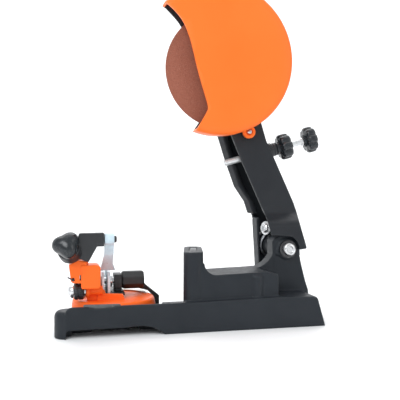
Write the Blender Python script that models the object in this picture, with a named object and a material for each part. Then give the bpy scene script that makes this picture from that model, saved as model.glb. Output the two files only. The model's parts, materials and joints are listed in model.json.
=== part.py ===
# Bench-top electric chainsaw sharpener: swing-down grinding head on a cast base with a swivelling chain vise.
# Units: the dimension constants are millimetres, the finished objects are metres.  +Z up, X along the base
# (vise on the left, head hinge on the right), Y away from the operator.  The origin is on the underside of the
# base, below the grinding wheel's plane (Y = 0).
import bpy
import bmesh
import math
from mathutils import Vector, Matrix

# ---------------------------------------------------------------- driving dimensions (mm)
MM = 0.001
GAP = 0.3                      # running gap between separate pieces
FACETS = 0.6                   # share of the nominal number of facets round a turned piece

WHEEL_R = 54.0                 # 108 mm grinding wheel
WHEEL_T = 3.2
WHEEL_BORE = 22.2
WHEEL_X, WHEEL_Z = 34.0, 232.4

HINGE_X, HINGE_Z = 94.0, 66.5  # head hinge, axis along Y
TABLE_X = -67.0                # swivel axis of the vise, vertical
TABLE_R = 37.0
TABLE_Z0, TABLE_Z1 = 18.6, 27.0
SCREW_Y, SCREW_Z = -19.2, 35.9 # axis of the tower's locking screw, along X

BASE_X0, BASE_X1 = -118.5, 118.2
BASE_Y0, BASE_Y1 = -41.0, 52.0
BASE_TOP = 26.0
TRAY_TOP = 10.0
POST_TOP = 68.0
LEDGE_TOP = 47.8

COVER_X, COVER_Z, COVER_R = 29.0, 241.5, 69.8
LUG_X, LUG_Z = 59.8, 176.2     # ear at the rim that takes the cover screw
COVER_Y0, COVER_Y1 = -13.5, 4.0
PLATE_Y0, PLATE_Y1 = 4.3, 5.8      # back guard plate
ARM_Y0, ARM_Y1 = 6.2, 50.0         # outer faces of the channel arm
ARM_LOW_Y0, ARM_LOW_Y1 = -14.0, 53.0   # outer faces of the fork skirt
ARM_T = 4.0
FORK_APEX = (-112.2, -537.8, 122.6)    # nearer than the arm's near face, its outline shrinks towards this point

ROD_Y = 16.0                   # depth rod: axis through these two points
ROD_A = (39.2, 147.2)
ROD_B = (128.0, 171.8)
ROD_R = 3.0

MOTOR_R = 25.5
MOTOR_Y0, MOTOR_Y1 = 50.3, 112.0

KNOB_DIR = Vector((-0.25, -0.80, 0.55)).normalized()   # axis of the three-lobed stop knob
KNOB_C = Vector((-108.6, -41.0, 77.6))

# ---------------------------------------------------------------- clean start
for ob in list(bpy.data.objects):
    bpy.data.objects.remove(ob, do_unlink=True)

SCN = bpy.context.scene
COL = SCN.collection


# ---------------------------------------------------------------- materials
def material(name, rgb, rough, metal=0.0):
    m = bpy.data.materials.new(name)
    m.use_nodes = True
    b = m.node_tree.nodes["Principled BSDF"]
    b.inputs["Base Color"].default_value = (rgb[0], rgb[1], rgb[2], 1.0)
    b.inputs["Roughness"].default_value = rough
    b.inputs["Metallic"].default_value = metal
    m.diffuse_color = (rgb[0], rgb[1], rgb[2], 1.0)
    return m


CAST = (0.040, 0.042, 0.046)
ORANGE = (0.90, 0.105, 0.018)
STEEL = (0.62, 0.62, 0.60)
BLACK = (0.016, 0.017, 0.019)


# ---------------------------------------------------------------- mesh helpers (all in mm until placed)
def arc(cx, cy, r, a0, a1, n):
    """Points on an arc, degrees a0..a1, n segments."""
    return [(cx + r * math.cos(math.radians(a0 + (a1 - a0) * i / n)),
             cy + r * math.sin(math.radians(a0 + (a1 - a0) * i / n))) for i in range(n + 1)]


def rounded(pts, radii, seg=4):
    """Closed polygon with its corners replaced by arcs."""
    out = []
    n = len(pts)
    for i in range(n):
        p = Vector(pts[i])
        r = radii[i] if isinstance(radii, (list, tuple)) else radii
        a = Vector(pts[i - 1]) - p
        b = Vector(pts[(i + 1) % n]) - p
        if r <= 0:
            out.append((p.x, p.y))
            continue
        ang = a.angle(b)
        if ang > math.pi - 0.05:
            out.append((p.x, p.y))
            continue
        t = min(r / math.tan(ang / 2), a.length * 0.48, b.length * 0.48)
        rr = t * math.tan(ang / 2)
        c = p + (a.normalized() + b.normalized()).normalized() * (rr / math.sin(ang / 2))
        s = p + a.normalized() * t - c
        e = p + b.normalized() * t - c
        a0 = math.atan2(s.y, s.x)
        a1 = math.atan2(e.y, e.x)
        d = a1 - a0
        while d > math.pi:
            d -= 2 * math.pi
        while d < -math.pi:
            d += 2 * math.pi
        for k in range(seg + 1):
            t2 = a0 + d * k / seg
            out.append((c.x + rr * math.cos(t2), c.y + rr * math.sin(t2)))
    return out


def loft(rings, cap=True):
    """Skin a list of equal-length closed rings of 3-D points."""
    bm = bmesh.new()
    rows = [[bm.verts.new(p) for p in ring] for ring in rings]
    n = len(rows[0])
    for a, b in zip(rows[:-1], rows[1:]):
        for i in range(n):
            j = (i + 1) % n
            bm.faces.new((a[i], a[j], b[j], b[i]))
    if cap:
        bm.faces.new(list(reversed(rows[0])))
        bm.faces.new(rows[-1])
    bmesh.ops.recalc_face_normals(bm, faces=bm.faces)
    return bm


def prism_y(pts, y0, y1):
    return loft([[(x, y0, z) for x, z in pts], [(x, y1, z) for x, z in pts]])


def prism_z(pts, z0, z1, top=None):
    return loft([[(x, y, z0) for x, y in pts], [(x, y, z1) for x, y in (top or pts)]])


def prism_x(pts, x0, x1):
    return loft([[(x0, y, z) for y, z in pts], [(x1, y, z) for y, z in pts]])


def box(x0, x1, y0, y1, z0, z1):
    return prism_z([(x0, y0), (x1, y0), (x1, y1), (x0, y1)], z0, z1)


def frame_of(direction):
    d = Vector(direction).normalized()
    side = Vector((0, 0, 1)) if abs(d.z) < 0.9 else Vector((1, 0, 0))
    u = d.cross(side).normalized()
    v = d.cross(u).normalized()
    return d, u, v


def turned(profile, centre, direction, seg=32, lobes=None):
    """Solid of revolution.  profile = [(radius, height), ...] from the bottom pole or ring to the top one.
    lobes(angle, radius) may reshape the radius."""
    seg = seg if seg <= 8 else max(12, int(round(seg * (0.8 if lobes else FACETS))))
    d, u, v = frame_of(direction)
    c = Vector(centre)
    bm = bmesh.new()
    rows = []
    for r, h in profile:
        if r <= 1e-6:
            rows.append([bm.verts.new(c + d * h)])
        else:
            row = []
            for i in range(seg):
                a = 2 * math.pi * i / seg
                rr = lobes(a, r) if lobes else r
                row.append(bm.verts.new(c + d * h + (u * math.cos(a) + v * math.sin(a)) * rr))
            rows.append(row)
    for a, b in zip(rows[:-1], rows[1:]):
        for i in range(seg):
            j = (i + 1) % seg
            if len(a) == 1 and len(b) > 1:
                bm.faces.new((a[0], b[i], b[j]))
            elif len(b) == 1 and len(a) > 1:
                bm.faces.new((a[i], a[j], b[0]))
            elif len(a) > 1 and len(b) > 1:
                bm.faces.new((a[i], a[j], b[j], b[i]))
    if len(rows[0]) > 1:
        bm.faces.new(list(reversed(rows[0])))
    if len(rows[-1]) > 1:
        bm.faces.new(rows[-1])
    bmesh.ops.recalc_face_normals(bm, faces=bm.faces)
    return bm


def ring_turned(profile, centre, direction, seg=32):
    """Revolve a closed profile that never touches the axis (a tube, washer or band)."""
    seg = seg if seg <= 8 else max(12, int(round(seg * FACETS)))
    d, u, v = frame_of(direction)
    c = Vector(centre)
    bm = bmesh.new()
    rows = []
    for i in range(seg):
        a = 2 * math.pi * i / seg
        rows.append([bm.verts.new(c + d * h + (u * math.cos(a) + v * math.sin(a)) * r) for r, h in profile])
    m = len(profile)
    for i in range(seg):
        a, b = rows[i], rows[(i + 1) % seg]
        for k in range(m):
            j = (k + 1) % m
            bm.faces.new((a[k], a[j], b[j], b[k]))
    bmesh.ops.recalc_face_normals(bm, faces=bm.faces)
    return bm


def cyl(r, h0, h1, centre, direction, seg=32):
    return turned([(r, h0), (r, h1)], centre, direction, seg)


def tube(r0, r1, h0, h1, centre, direction, seg=32):
    return ring_turned([(r0, h0), (r1, h0), (r1, h1), (r0, h1)], centre, direction, seg)


def sweep(path, r, seg=8):
    """Round wire of radius r along a 3-D path."""
    rings = []
    n = len(path)
    up = Vector((0.13, 0.21, 0.97))
    for i, p in enumerate(path):
        p = Vector(p)
        t = (Vector(path[min(i + 1, n - 1)]) - Vector(path[max(i - 1, 0)])).normalized()
        a = (up - t * up.dot(t)).normalized()
        up = a
        b = t.cross(a)
        rings.append([p + (a * math.cos(2 * math.pi * k / seg) + b * math.sin(2 * math.pi * k / seg)) * r
                      for k in range(seg)])
    return loft(rings)


def as_object(bm, name="tmp"):
    me = bpy.data.meshes.new(name)
    bm.to_mesh(me)
    bm.free()
    ob = bpy.data.objects.new(name, me)
    COL.objects.link(ob)
    return ob


def boolean(bm, others, op):
    """Exact Boolean of one body with each of the others, in turn."""
    for other in others:
        a = as_object(bm, "work")
        b = as_object(other, "tool")
        b.hide_render = True
        b.display_type = 'WIRE'
        m = a.modifiers.new("bool", 'BOOLEAN')
        m.operation = op
        m.solver = 'EXACT'
        m.object = b
        dg = bpy.context.evaluated_depsgraph_get()
        dg.update()
        me = bpy.data.meshes.new_from_object(a.evaluated_get(dg))
        bm = bmesh.new()
        bm.from_mesh(me)
        bpy.data.meshes.remove(me)
        for ob in (a, b):
            old = ob.data
            bpy.data.objects.remove(ob, do_unlink=True)
            bpy.data.meshes.remove(old)
        bmesh.ops.remove_doubles(bm, verts=bm.verts, dist=0.0005)
        bmesh.ops.dissolve_limit(bm, angle_limit=math.radians(0.4), verts=bm.verts, edges=bm.edges)
    return bm


def add(bm, *others):
    return boolean(bm, others, 'UNION')


def cut(bm, *others):
    return boolean(bm, others, 'DIFFERENCE')


def common(bm, *others):
    return boolean(bm, others, 'INTERSECT')


AXES = {}


def pivot(name, x, y, z):
    """Empty on a joint's axis; the moving pieces hang from it."""
    e = bpy.data.objects.new(name, None)
    e.location = (x * MM, y * MM, z * MM)
    COL.objects.link(e)
    AXES[name] = Vector((x, y, z))
    return e


def piece(name, bm, rgb, rough, metal=0.0, parent=None, origin=None, smooth=38.0):
    """Place a finished body: mm mesh -> metres, with its origin on its parent's axis."""
    o = Vector(origin) if origin is not None else (AXES[parent.name] if parent else Vector((0, 0, 0)))
    bmesh.ops.transform(bm, matrix=Matrix.Translation(-o), verts=bm.verts)
    bmesh.ops.transform(bm, matrix=Matrix.Scale(MM, 4), verts=bm.verts)
    me = bpy.data.meshes.new(name)
    bm.to_mesh(me)
    bm.free()
    me.materials.append(material(name + "_mat", rgb, rough, metal))
    me.shade_smooth()
    me.set_sharp_from_angle(angle=math.radians(smooth))
    ob = bpy.data.objects.new(name, me)
    COL.objects.link(ob)
    if parent:
        ob.parent = parent
        ob.location = (o - AXES[parent.name]) * MM
    else:
        ob.location = o * MM
    return ob


Y_AX = (0, 1, 0)
X_AX = (1, 0, 0)
Z_AX = (0, 0, 1)

# ================================================================ base
# plan of the low tray under the vise: tight near-left corner, wide far-left curve round the table
tray_plan = ([(-12.0, BASE_Y0 + 0.4)]
             + [(p[0], p[1]) for p in reversed(arc(-106.5, -28.6, 12.0, 180, 270, 6))]
             + [(p[0], p[1]) for p in reversed(arc(-72.5, -6.0, 46.0, 92, 180, 12))]
             + [(-12.0, 40.0)])
base = prism_z(tray_plan, 0.0, TRAY_TOP)

# right-hand block under the plinth and the ears, drafted at its right end
block = prism_y([(-15.0, 0.0), (BASE_X1, 0.0), (111.4, 23.6), (108.6, 26.6), (75.0, 27.4), (0.0, BASE_TOP),
                 (-15.0, BASE_TOP)], BASE_Y0, BASE_Y1)
low_side = cut(block, prism_z([(-20.0, BASE_Y0 + 3.2), (-10.4, BASE_Y0 + 3.2), (9.0, BASE_Y1 + 5.0), (-20.0, BASE_Y1 + 5.0)],
                              TRAY_TOP, 60))

# raised near wall with its low hand arch
wall = prism_y([(-110.0, 0.0), (-13.0, 0.0), (-13.0, BASE_TOP), (-104.0, BASE_TOP), (-108.6, 24.6), (-110.0, 21.5)],
               BASE_Y0, BASE_Y0 + 3.2)
corner = turned([(11.4, 0.0), (11.4, 17.5), (10.6, 20.3), (8.6, 22.0)], (-107.1, -29.2, 0), Z_AX, 40)

# round boss that carries the swivel table, hollow below for the lock knob
boss = cyl(32.0, 0.0, TABLE_Z0 - GAP, (TABLE_X, 0, 0), Z_AX, 56)

base = add(base, low_side, wall, corner, boss)

# post for the depth stop, skewed in plan, with a draft
post_low = rounded([(-11.0, -35.4), (7.4, -36.8), (18.6, 20.0), (1.6, 25.4)], 7.6, 5)
post_top = rounded([(-10.6, -34.4), (6.8, -35.8), (17.8, 19.4), (1.9, 24.4)], 7.8, 5)
post = prism_z(post_low, 12.0, POST_TOP, post_top)
# ledge between the post and the ears, swept up to both
ledge_xz = ([(2.0, 14.0), (2.0, 60.0)] + [(p[0], p[1]) for p in arc(19.6, 59.0, 11.3, 186, 270, 7)]
            + [(60.0, 48.9), (64.5, 49.4), (76.0, 31.0), (76.0, 14.0)])
ledge = loft([[(x, -34.0 - (1.6 if z < 30 else 0.0), z) for x, z in ledge_xz],
              [(x, 11.0, z) for x, z in ledge_xz]])
swell = turned([(6.2, 12.0), (5.6, 45.2), (4.2, 46.6), (0.0, 47.0)], (56.5, -31.6, 0), Z_AX, 24)
base = add(base, post, ledge, swell)


# ears
def ear(y0, y1, left):
    top = []
    for a in range(152, 9, -13):           # the top edge closes in on the hinge axis towards the right
        r = 12.8 + 3.4 * max(0.0, (a - 92.0) / 60.0)
        top.append((HINGE_X + r * math.cos(math.radians(a)), HINGE_Z + r * math.sin(math.radians(a))))
    pts = ([(left + 6.4, 14.0)] + [(left + 5.8, 30.0), (left + 3.2, 48.0), (left + 0.6, 62.0)] + top
           + [(106.6, 62.0), (108.0, 54.0), (112.6, 36.0), (115.6, 27.2), (116.6, 14.0)])
    return prism_y(pts, y0, y1)


near_ear = ear(-8.0, 8.0, 79.4)
far_ear = ear(36.0, 44.0, 78.6)
# tall flat horn on the far ear's left edge
horn = prism_y([(79.4, 14.0), (78.8, 48.0), (76.6, 84.0), (76.2, 92.4), (77.2, 94.2), (78.8, 94.6), (80.2, 92.6), (80.0, 84.0), (79.6, 66.0),
                (80.4, 48.0), (88.0, 46.0), (88.0, 14.0)], 29.0, 44.0)
gusset = prism_y([(58.0, 14.0), (58.0, 48.0)] + arc(58.5, 72.4, 24.0, 275, 338, 9) + [(88.0, 63.4), (88.0, 14.0)],
                 -7.6, 7.6)
pad = prism_y(rounded([(82.6, 60.6), (106.6, 60.6), (106.4, 66.5), (83.6, 66.5)], [2.0, 0.0, 0.0, 0.0], 3)
              + [], -9.4, -7.0)
pad2 = cyl(9.6, -9.4, -7.0, (HINGE_X, 0, HINGE_Z), Y_AX, 40)
cross_web = box(76.0, 112.0, 6.0, 40.0, 14.0, 30.0)
base = add(base, gusset, near_ear, far_ear, horn, cross_web, pad, pad2)

# cuts: hinge bore, table bore and lock-knob well, underside pockets, arch, anvil pocket, pointer scoop
base = cut(base,
           cyl(4.35, -60, 80, (HINGE_X, 0, HINGE_Z), Y_AX, 32),
           cyl(5.3, -5, 40, (TABLE_X, 0, 0), Z_AX, 32),
           cyl(27.0, -5, 12.6, (TABLE_X, 0, 0), Z_AX, 48),
           box(12.0, 108.0, -36.5, 47.5, -5, 20.0),
           box(-104.0, -30.0, -37.6, -18.0, -5, 6.4),
           prism_y([(-109.0, -3.0), (-109.0, 5.6), (-107.4, 7.0), (-62.0, 7.4), (-46.0, 8.2), (-38.0, 6.6),
                    (-30.0, 2.2), (-25.0, -3.0)], -60, -30.0),
           prism_z(rounded([(-1.6, -16.0), (4.8, -17.6), (11.4, 12.0), (5.2, 13.8)], 2.9, 4), POST_TOP - 2.0, POST_TOP + 5),
           cyl(40.8, -50, -30, (-79.9, 0, 65.0), Y_AX, 96),
           box(-95.6, -64.0, -39.3, -37.0, TRAY_TOP, 40.0))
piece("base_casting", base, CAST, 0.55)

piece("stop_anvil", prism_z(rounded([(-1.2, -15.6), (4.5, -17.1), (11.0, 11.6), (5.5, 13.3)], 2.6, 4),
                            POST_TOP - 1.7, POST_TOP - 0.4), BLACK, 0.5)

# grey index plate standing in a pocket behind the scooped near wall, its top edge level with the disc's
ptr = prism_y(rounded([(-95.2, TRAY_TOP + GAP), (-64.4, TRAY_TOP + GAP), (-64.4, 27.2), (-95.2, 27.6)], [0.5, 0.5, 1.5, 1.5], 3),
              -39.0, -37.6)
piece("angle_pointer", ptr, (0.30, 0.31, 0.32), 0.45, 0.6)

# hinge hardware
bolt = turned([(3.6, -16.4), (5.2, -15.7), (5.9, -14.4), (5.9, -11.8), (4.0, -11.8), (4.0, 55.5), (3.2, 56.5)],
              (HINGE_X, 0, HINGE_Z), Y_AX, 32)
piece("hinge_bolt", bolt, STEEL, 0.25, 1.0)
piece("hinge_washer", tube(4.4, 8.2, -11.5, -9.7, (HINGE_X, 0, HINGE_Z), Y_AX, 36), STEEL, 0.3, 1.0)
nut = cut(turned([(6.6, 45.6), (7.5, 46.0), (7.5, 51.2), (6.6, 51.6)], (HINGE_X, 0, HINGE_Z), Y_AX, 6),
          cyl(4.3, 40, 60, (HINGE_X, 0, HINGE_Z), Y_AX, 24))
piece("hinge_nut", nut, STEEL, 0.3, 1.0)
piece("hinge_washer_rear", tube(4.4, 8.6, 44.3, 45.3, (HINGE_X, 0, HINGE_Z), Y_AX, 36), STEEL, 0.3, 1.0)

# torsion spring coiled round the hinge barrel, one leg resting on the base, one on the arm's spine
coil = []
turns = 3.0
for i in range(int(turns * 12) + 1):
    t = i / 12.0
    a = 2 * math.pi * t + math.radians(200)
    coil.append((HINGE_X + 12.9 * math.cos(a), 27.6 + 2.1 * t, HINGE_Z + 12.9 * math.sin(a)))
piece("return_spring", sweep(coil, 0.9, 6), (0.35, 0.36, 0.38), 0.35, 1.0)

# ================================================================ head (tilts about the hinge)
head = pivot("head_axis", HINGE_X, 0, HINGE_Z)

# channel arm: near and far plates joined by a web on the right, open to the left
def shrunk(pts, y0, y1):
    """XZ points seen at depth y0 moved along the lines to the fork's apex, to depth y1."""
    k = (y1 - FORK_APEX[1]) / (y0 - FORK_APEX[1])
    return [(FORK_APEX[0] + (x - FORK_APEX[0]) * k, FORK_APEX[2] + (z - FORK_APEX[2]) * k) for x, z in pts]


def tapered(pts, y_near, y_far):
    """Prism along Y whose outline is pts from the arm's near face on, and shrinks nearer than that."""
    return loft([[(x, y_near, z) for x, z in shrunk(pts, ARM_Y0, y_near)], [(x, ARM_Y0, z) for x, z in pts],
                 [(x, y_far, z) for x, z in pts]])


left = shrunk([(76.4, 79.7), (72.7, 92.1)], ARM_LOW_Y0, ARM_Y0) + [(74.1, 105.5), (54.9, 147.3), (43.6, 174.1), (28.0, 201.0)]
right = (shrunk([(111.1, 66.9), (111.0, 69.2)], ARM_LOW_Y0, ARM_Y0)
         + [(106.6, 109.1), (87.4, 150.4), (78.7, 168.5), (73.8, 184.7), (66.6, 215.0), (62.6, 240.0)])
skirt_low = shrunk([(85.7, 79.1), (92.5, 78.6), (96.8, 77.8), (100.0, 75.5), (102.4, 72.2), (103.7, 69.0), (104.0, 65.8)],
                   ARM_LOW_Y0, ARM_Y0)
outline = skirt_low + right + [(52.0, 262.0), (16.0, 262.0), (8.0, 240.0), (14.0, 215.0)] + list(reversed(left))
shell = common(tapered(outline, -30, 70),
               prism_x([(ARM_LOW_Y0, 50), (ARM_LOW_Y0, 91.0), (ARM_Y0, 101.5), (ARM_Y0, 270), (ARM_Y1, 270),
                        (ARM_Y1, 100.5), (ARM_LOW_Y1, 92.0), (ARM_LOW_Y1, 50)], -30, 150))
inner_right = [(114.9, 45.0), (115.1, 67.0), (102.3, 109.1), (83.5, 149.0), (74.7, 167.0), (69.9, 183.6), (62.7, 214.0),
               (58.7, 238.0), (52.0, 250.0)]
inner = common(tapered([(-40.0, 45.0)] + inner_right + [(30.0, 256.0), (-40.0, 256.0)], -30, 70),
               prism_x([(ARM_LOW_Y0 + ARM_T, 40), (ARM_LOW_Y0 + ARM_T, 88.4), (ARM_Y0 + ARM_T, 99.2),
                        (ARM_Y0 + ARM_T, 280), (ARM_Y1 - ARM_T, 280), (ARM_Y1 - ARM_T, 98.4),
                        (ARM_LOW_Y1 - ARM_T, 90.0), (ARM_LOW_Y1 - ARM_T, 40)], -45, 160))
arm = cut(shell, inner)

# slanted lip along the far plate's open edge
lip_path = [(73.9, 98.0), (69.6, 110.4), (59.6, 124.9), (55.0, 137.3), (48.6, 155.0), (41.8, 176.6), (30.5, 199.0)]
rings = []
for x, z in lip_path:
    rings.append([(x - 1.0, 49.8, z), (x + 2.2, 40.0, z), (x + 7.0, 40.0, z), (x + 7.0, 49.8, z)])
arm = add(arm, loft(rings))

# spindle head: ring plate on the near side and a bearing tube through the channel
arm = add(arm, cyl(33.0, ARM_Y0, ARM_Y0 + ARM_T, (WHEEL_X, 0, WHEEL_Z), Y_AX, 56),
          cyl(19.0, ARM_Y0, ARM_Y1, (WHEEL_X, 0, WHEEL_Z), Y_AX, 40),
          cyl(33.0, ARM_Y1 - ARM_T, ARM_Y1, (WHEEL_X, 0, WHEEL_Z), Y_AX, 56))

# crossing stiffening ribs standing on the web
U = Vector((math.cos(math.radians(114.6)), 0, math.sin(math.radians(114.6))))     # up along the arm
W = Vector((-U.z, 0, U.x))                                                        # towards the open side
W = -W if W.x > 0 else W


def rib(s0, y0, s1, y1, t=2.4, depth=15.0):
    """Slab between the plates, running diagonally on the web's inner face."""
    org = Vector((107.2, 0, 101.0))
    a = org + U * s0 + Vector((0, y0, 0))
    b = org + U * s1 + Vector((0, y1, 0))
    n = (b - a).cross(W).normalized() * (t / 2)
    base_in = W * (-1.5)
    top_in = W * depth
    return loft([[a - n + base_in, b - n + base_in, b - n + top_in, a - n + top_in],
                 [a + n + base_in, b + n + base_in, b + n + top_in, a + n + top_in]])


arm = add(arm, rib(10.0, 8.4, 36.0, 48.2), rib(10.0, 48.2, 36.0, 8.4), rib(32.0, 8.4, 47.0, 48.2),
          rib(88.0, 8.4, 112.0, 48.2), rib(88.0, 48.2, 112.0, 8.4))

# hinge barrel with its spine to the web
barrel = cyl(11.4, 8.6, 35.4, (HINGE_X, 0, HINGE_Z), Y_AX, 40)
spine = prism_y([(94.0, 56.2), (116.0, 62.6), (116.4, 68.0), (107.4, 100.6), (98.0, 96.0), (86.0, 75.0)], 14.0, 26.0)
arm = add(arm, barrel, spine)

# bores: hinge, spindle, depth rod, cover screws
rod_dir = Vector((ROD_B[0] - ROD_A[0], 0, ROD_B[1] - ROD_A[1])).normalized()
rod_org = Vector((ROD_A[0], ROD_Y, ROD_A[1]))
bush_h = (Vector((82.0, 0, 0)) - Vector((ROD_A[0], 0, 0))).dot(Vector((1, 0, 0))) / rod_dir.x
lug_dir = Vector((-0.90, -0.42, 0.05)).normalized()
lug_org = Vector((81.9, 16.0, 84.7))
arm = add(arm, cyl(8.2, bush_h - 7, bush_h + 1.7, rod_org, rod_dir, 36), cyl(7.4, -11.8, -0.3, lug_org, lug_dir, 30))
arm = cut(arm,
          cyl(2.8, -9.5, 4, lug_org, lug_dir, 24),
          cyl(6.6, 0, 50, (HINGE_X, 0, HINGE_Z), Y_AX, 32),
          cyl(13.3, 5, 16.6, (WHEEL_X, 0, WHEEL_Z), Y_AX, 40),
          cyl(8.0, 10, 60, (WHEEL_X, 0, WHEEL_Z), Y_AX, 32),
          cyl(4.6, bush_h - 12, bush_h + 12, rod_org, rod_dir, 24),
          cyl(8.6, bush_h + 1.7, bush_h + 12, rod_org, rod_dir, 36),
          cyl(1.9, 3, 14, (LUG_X, 0, LUG_Z), Y_AX, 20),
          cyl(2.3, 3, 14, (34.0, 0, 259.6), Y_AX, 20))
piece("arm_casting", arm, CAST, 0.5, parent=head)

piece("hinge_bush", tube(4.35, 6.3, 8.8, 35.2, (HINGE_X, 0, HINGE_Z), Y_AX, 32), (0.62, 0.42, 0.16), 0.35, 1.0,
      parent=head)

# threaded bush for the depth rod, screwed into the web
bush = cut(turned([(4.2, bush_h - 8), (4.2, bush_h + 2.0), (7.2, bush_h + 2.0), (7.2, bush_h + 4.8), (6.4, bush_h + 5.2),
                   (6.4, bush_h + 8.6), (5.8, bush_h + 9.2)], rod_org, rod_dir, 28),
           cyl(ROD_R + 0.25, bush_h - 20, bush_h + 20, rod_org, rod_dir, 24))
piece("threaded_bush", bush, BLACK, 0.4, parent=head)

# ---- wheel cover: dished front with a rim, cut away over the vise side
cut_edge = [(6.2, 175.6), (12.8, 187.0), (16.2, 193.4), (16.6, 196.6), (15.8, 200.6), (13.3, 208.6), (10.6, 217.2), (8.2, 225.6),
            (6.0, 233.5), (3.0, 246.0), (-1.0, 260.0), (-8.0, 274.5), (-22.0, 289.0)]
a_tip = math.degrees(math.atan2(175.6 - COVER_Z, 6.2 - COVER_X))
a_top = math.degrees(math.atan2(289.0 - COVER_Z, -22.0 - COVER_X))


def cover_outline(r, grow=0.0):
    """Cover silhouette: from the tip anticlockwise round the right and the top, back down the cut edge."""
    pts = arc(COVER_X, COVER_Z, r, a_tip, a_top, 44)
    inner_pts = [(x + grow, z) for x, z in reversed(cut_edge)]
    return pts + inner_pts[1:-1]


cover = loft([[(x, COVER_Y1, z) for x, z in cover_outline(COVER_R)],
              [(x, COVER_Y0 + 2.4, z) for x, z in cover_outline(COVER_R)],
              [(x, COVER_Y0 + 0.7, z) for x, z in cover_outline(COVER_R - 0.8)],
              [(x, COVER_Y0, z) for x, z in cover_outline(COVER_R - 2.6)]])
cavity = prism_y(arc(COVER_X, COVER_Z, COVER_R - 2.2, 0, 360, 48)[:-1], COVER_Y0 + 2.0, 20)
lug = cyl(6.0, 0.6, COVER_Y1, (LUG_X, 0, LUG_Z), Y_AX, 28)
cover = add(cut(cover, cavity), lug)
cover = cut(cover, cyl(1.9, -20, 20, (LUG_X, 0, LUG_Z), Y_AX, 20),
            cyl(COVER_R - 2.2, 0, 20, (COVER_X, 0, COVER_Z), Y_AX, 72))
piece("wheel_cover", cover, ORANGE, 0.38, parent=head)


def pan_screw(x, z, y_face, r_head, h_head, r_shank, depth):
    """Domed cross-recess screw entering along +Y; y_face is the surface the head sits on."""
    s = turned([(r_head * 0.45, -h_head), (r_head * 0.82, -h_head * 0.78), (r_head, -h_head * 0.3), (r_head, 0.0),
                (r_shank, 0.0), (r_shank, depth)], (x, y_face, z), Y_AX, 24)
    a = box(x - 0.5, x + 0.5, y_face - h_head - 1, y_face - h_head * 0.45, z - r_head * 0.55, z + r_head * 0.55)
    b = box(x - r_head * 0.55, x + r_head * 0.55, y_face - h_head - 1, y_face - h_head * 0.45, z - 0.5, z + 0.5)
    return cut(s, a, b)


piece("cover_screw", pan_screw(LUG_X, LUG_Z, 0.3, 2.25, 1.7, 1.45, 9.5), STEEL, 0.25, 1.0, parent=head)

# back guard plate behind the wheel, bored for the spindle flange
plate = prism_y(cover_outline(COVER_R, 1.2), PLATE_Y0, PLATE_Y1)
plate = add(plate, cyl(6.0, PLATE_Y0, PLATE_Y1, (LUG_X, 0, LUG_Z), Y_AX, 28))
plate = cut(plate, cyl(1.9, -20, 20, (LUG_X, 0, LUG_Z), Y_AX, 20), cyl(12.0, -20, 20, (WHEEL_X, 0, WHEEL_Z), Y_AX, 36),
            cyl(2.4, -20, 20, (34.0, 0, 259.6), Y_AX, 20))
piece("back_guard", plate, (0.05, 0.05, 0.055), 0.5, 0.4, parent=head)
piece("guard_screw", pan_screw(34.0, 259.6, 4.0, 3.4, 1.6, 1.95, 6.0), STEEL, 0.3, 1.0, parent=head)

# ---- motor
WC = (WHEEL_X, 0, WHEEL_Z)
housing = ring_turned([(MOTOR_R, MOTOR_Y0), (MOTOR_R, MOTOR_Y1), (MOTOR_R - 2.4, MOTOR_Y1), (MOTOR_R - 2.4, MOTOR_Y0 + 3.0),
                       (9.0, MOTOR_Y0 + 3.0), (9.0, MOTOR_Y0)], WC, Y_AX, 56)
saddle = box(22.0, 46.0, 66.0, 96.0, 249.0, 268.0)
saddle = cut(saddle, cyl(MOTOR_R - 1.0, 0, 140, WC, Y_AX, 56))
housing = add(housing, saddle)
piece("motor_housing", housing, (0.03, 0.031, 0.034), 0.45, parent=head)
cap = turned([(MOTOR_R, MOTOR_Y1 + GAP), (MOTOR_R, MOTOR_Y1 + 5), (MOTOR_R - 3, MOTOR_Y1 + 10.0),
              (MOTOR_R - 7, MOTOR_Y1 + 12.0)], WC, Y_AX, 56)
cap = cut(cap, cyl(MOTOR_R - 2.6, MOTOR_Y1 - 5, MOTOR_Y1 + 4.2, WC, Y_AX, 56),
          cyl(9.3, MOTOR_Y1 - 5, MOTOR_Y1 + 8.0, WC, Y_AX, 32))
for k in range(5):
    zc = WHEEL_Z - 12 + 6 * k
    cap = cut(cap, box(WHEEL_X + 10.5, WHEEL_X + 19.5, MOTOR_Y1 + 1, MOTOR_Y1 + 20, zc - 1.2, zc + 1.2),
              box(WHEEL_X - 19.5, WHEEL_X - 10.5, MOTOR_Y1 + 1, MOTOR_Y1 + 20, zc - 1.2, zc + 1.2))
piece("rear_cap", cap, (0.03, 0.031, 0.034), 0.45, parent=head)
stator = tube(16.0, 22.8, 62.0, 94.0, WC, Y_AX, 48)
piece("stator", stator, (0.30, 0.30, 0.31), 0.5, 0.8, parent=head)
piece("front_bearing", tube(4.25, 13.0, 7.2, 16.2, WC, Y_AX, 36), STEEL, 0.25, 1.0, parent=head)
piece("rear_bearing", tube(4.25, 9.0, 113.2, 119.6, WC, Y_AX, 32), STEEL, 0.25, 1.0, parent=head)
for side, nm in ((-1, "carbon_brush_left"), (1, "carbon_brush_right")):
    x0, x1 = sorted((WHEEL_X + side * 9.8, WHEEL_X + side * 20.0))
    piece(nm, box(x0, x1, 99.0, 105.0, WHEEL_Z - 2.5, WHEEL_Z + 2.5), (0.06, 0.055, 0.05), 0.6, 0.2, parent=head)
# cord inlet on the rear cap's lower right side
gland = turned([(6.2, 0.0), (6.2, 3.0), (5.2, 4.0), (4.6, 13.0)], (WHEEL_X, MOTOR_Y1 + 12.6, WHEEL_Z - 12), Y_AX, 28)
gland = cut(gland, cyl(3.4, 2, 30, (WHEEL_X, MOTOR_Y1 + 12.6, WHEEL_Z - 12), Y_AX, 24))
piece("cord_inlet", gland, BLACK, 0.6, parent=head)

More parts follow.
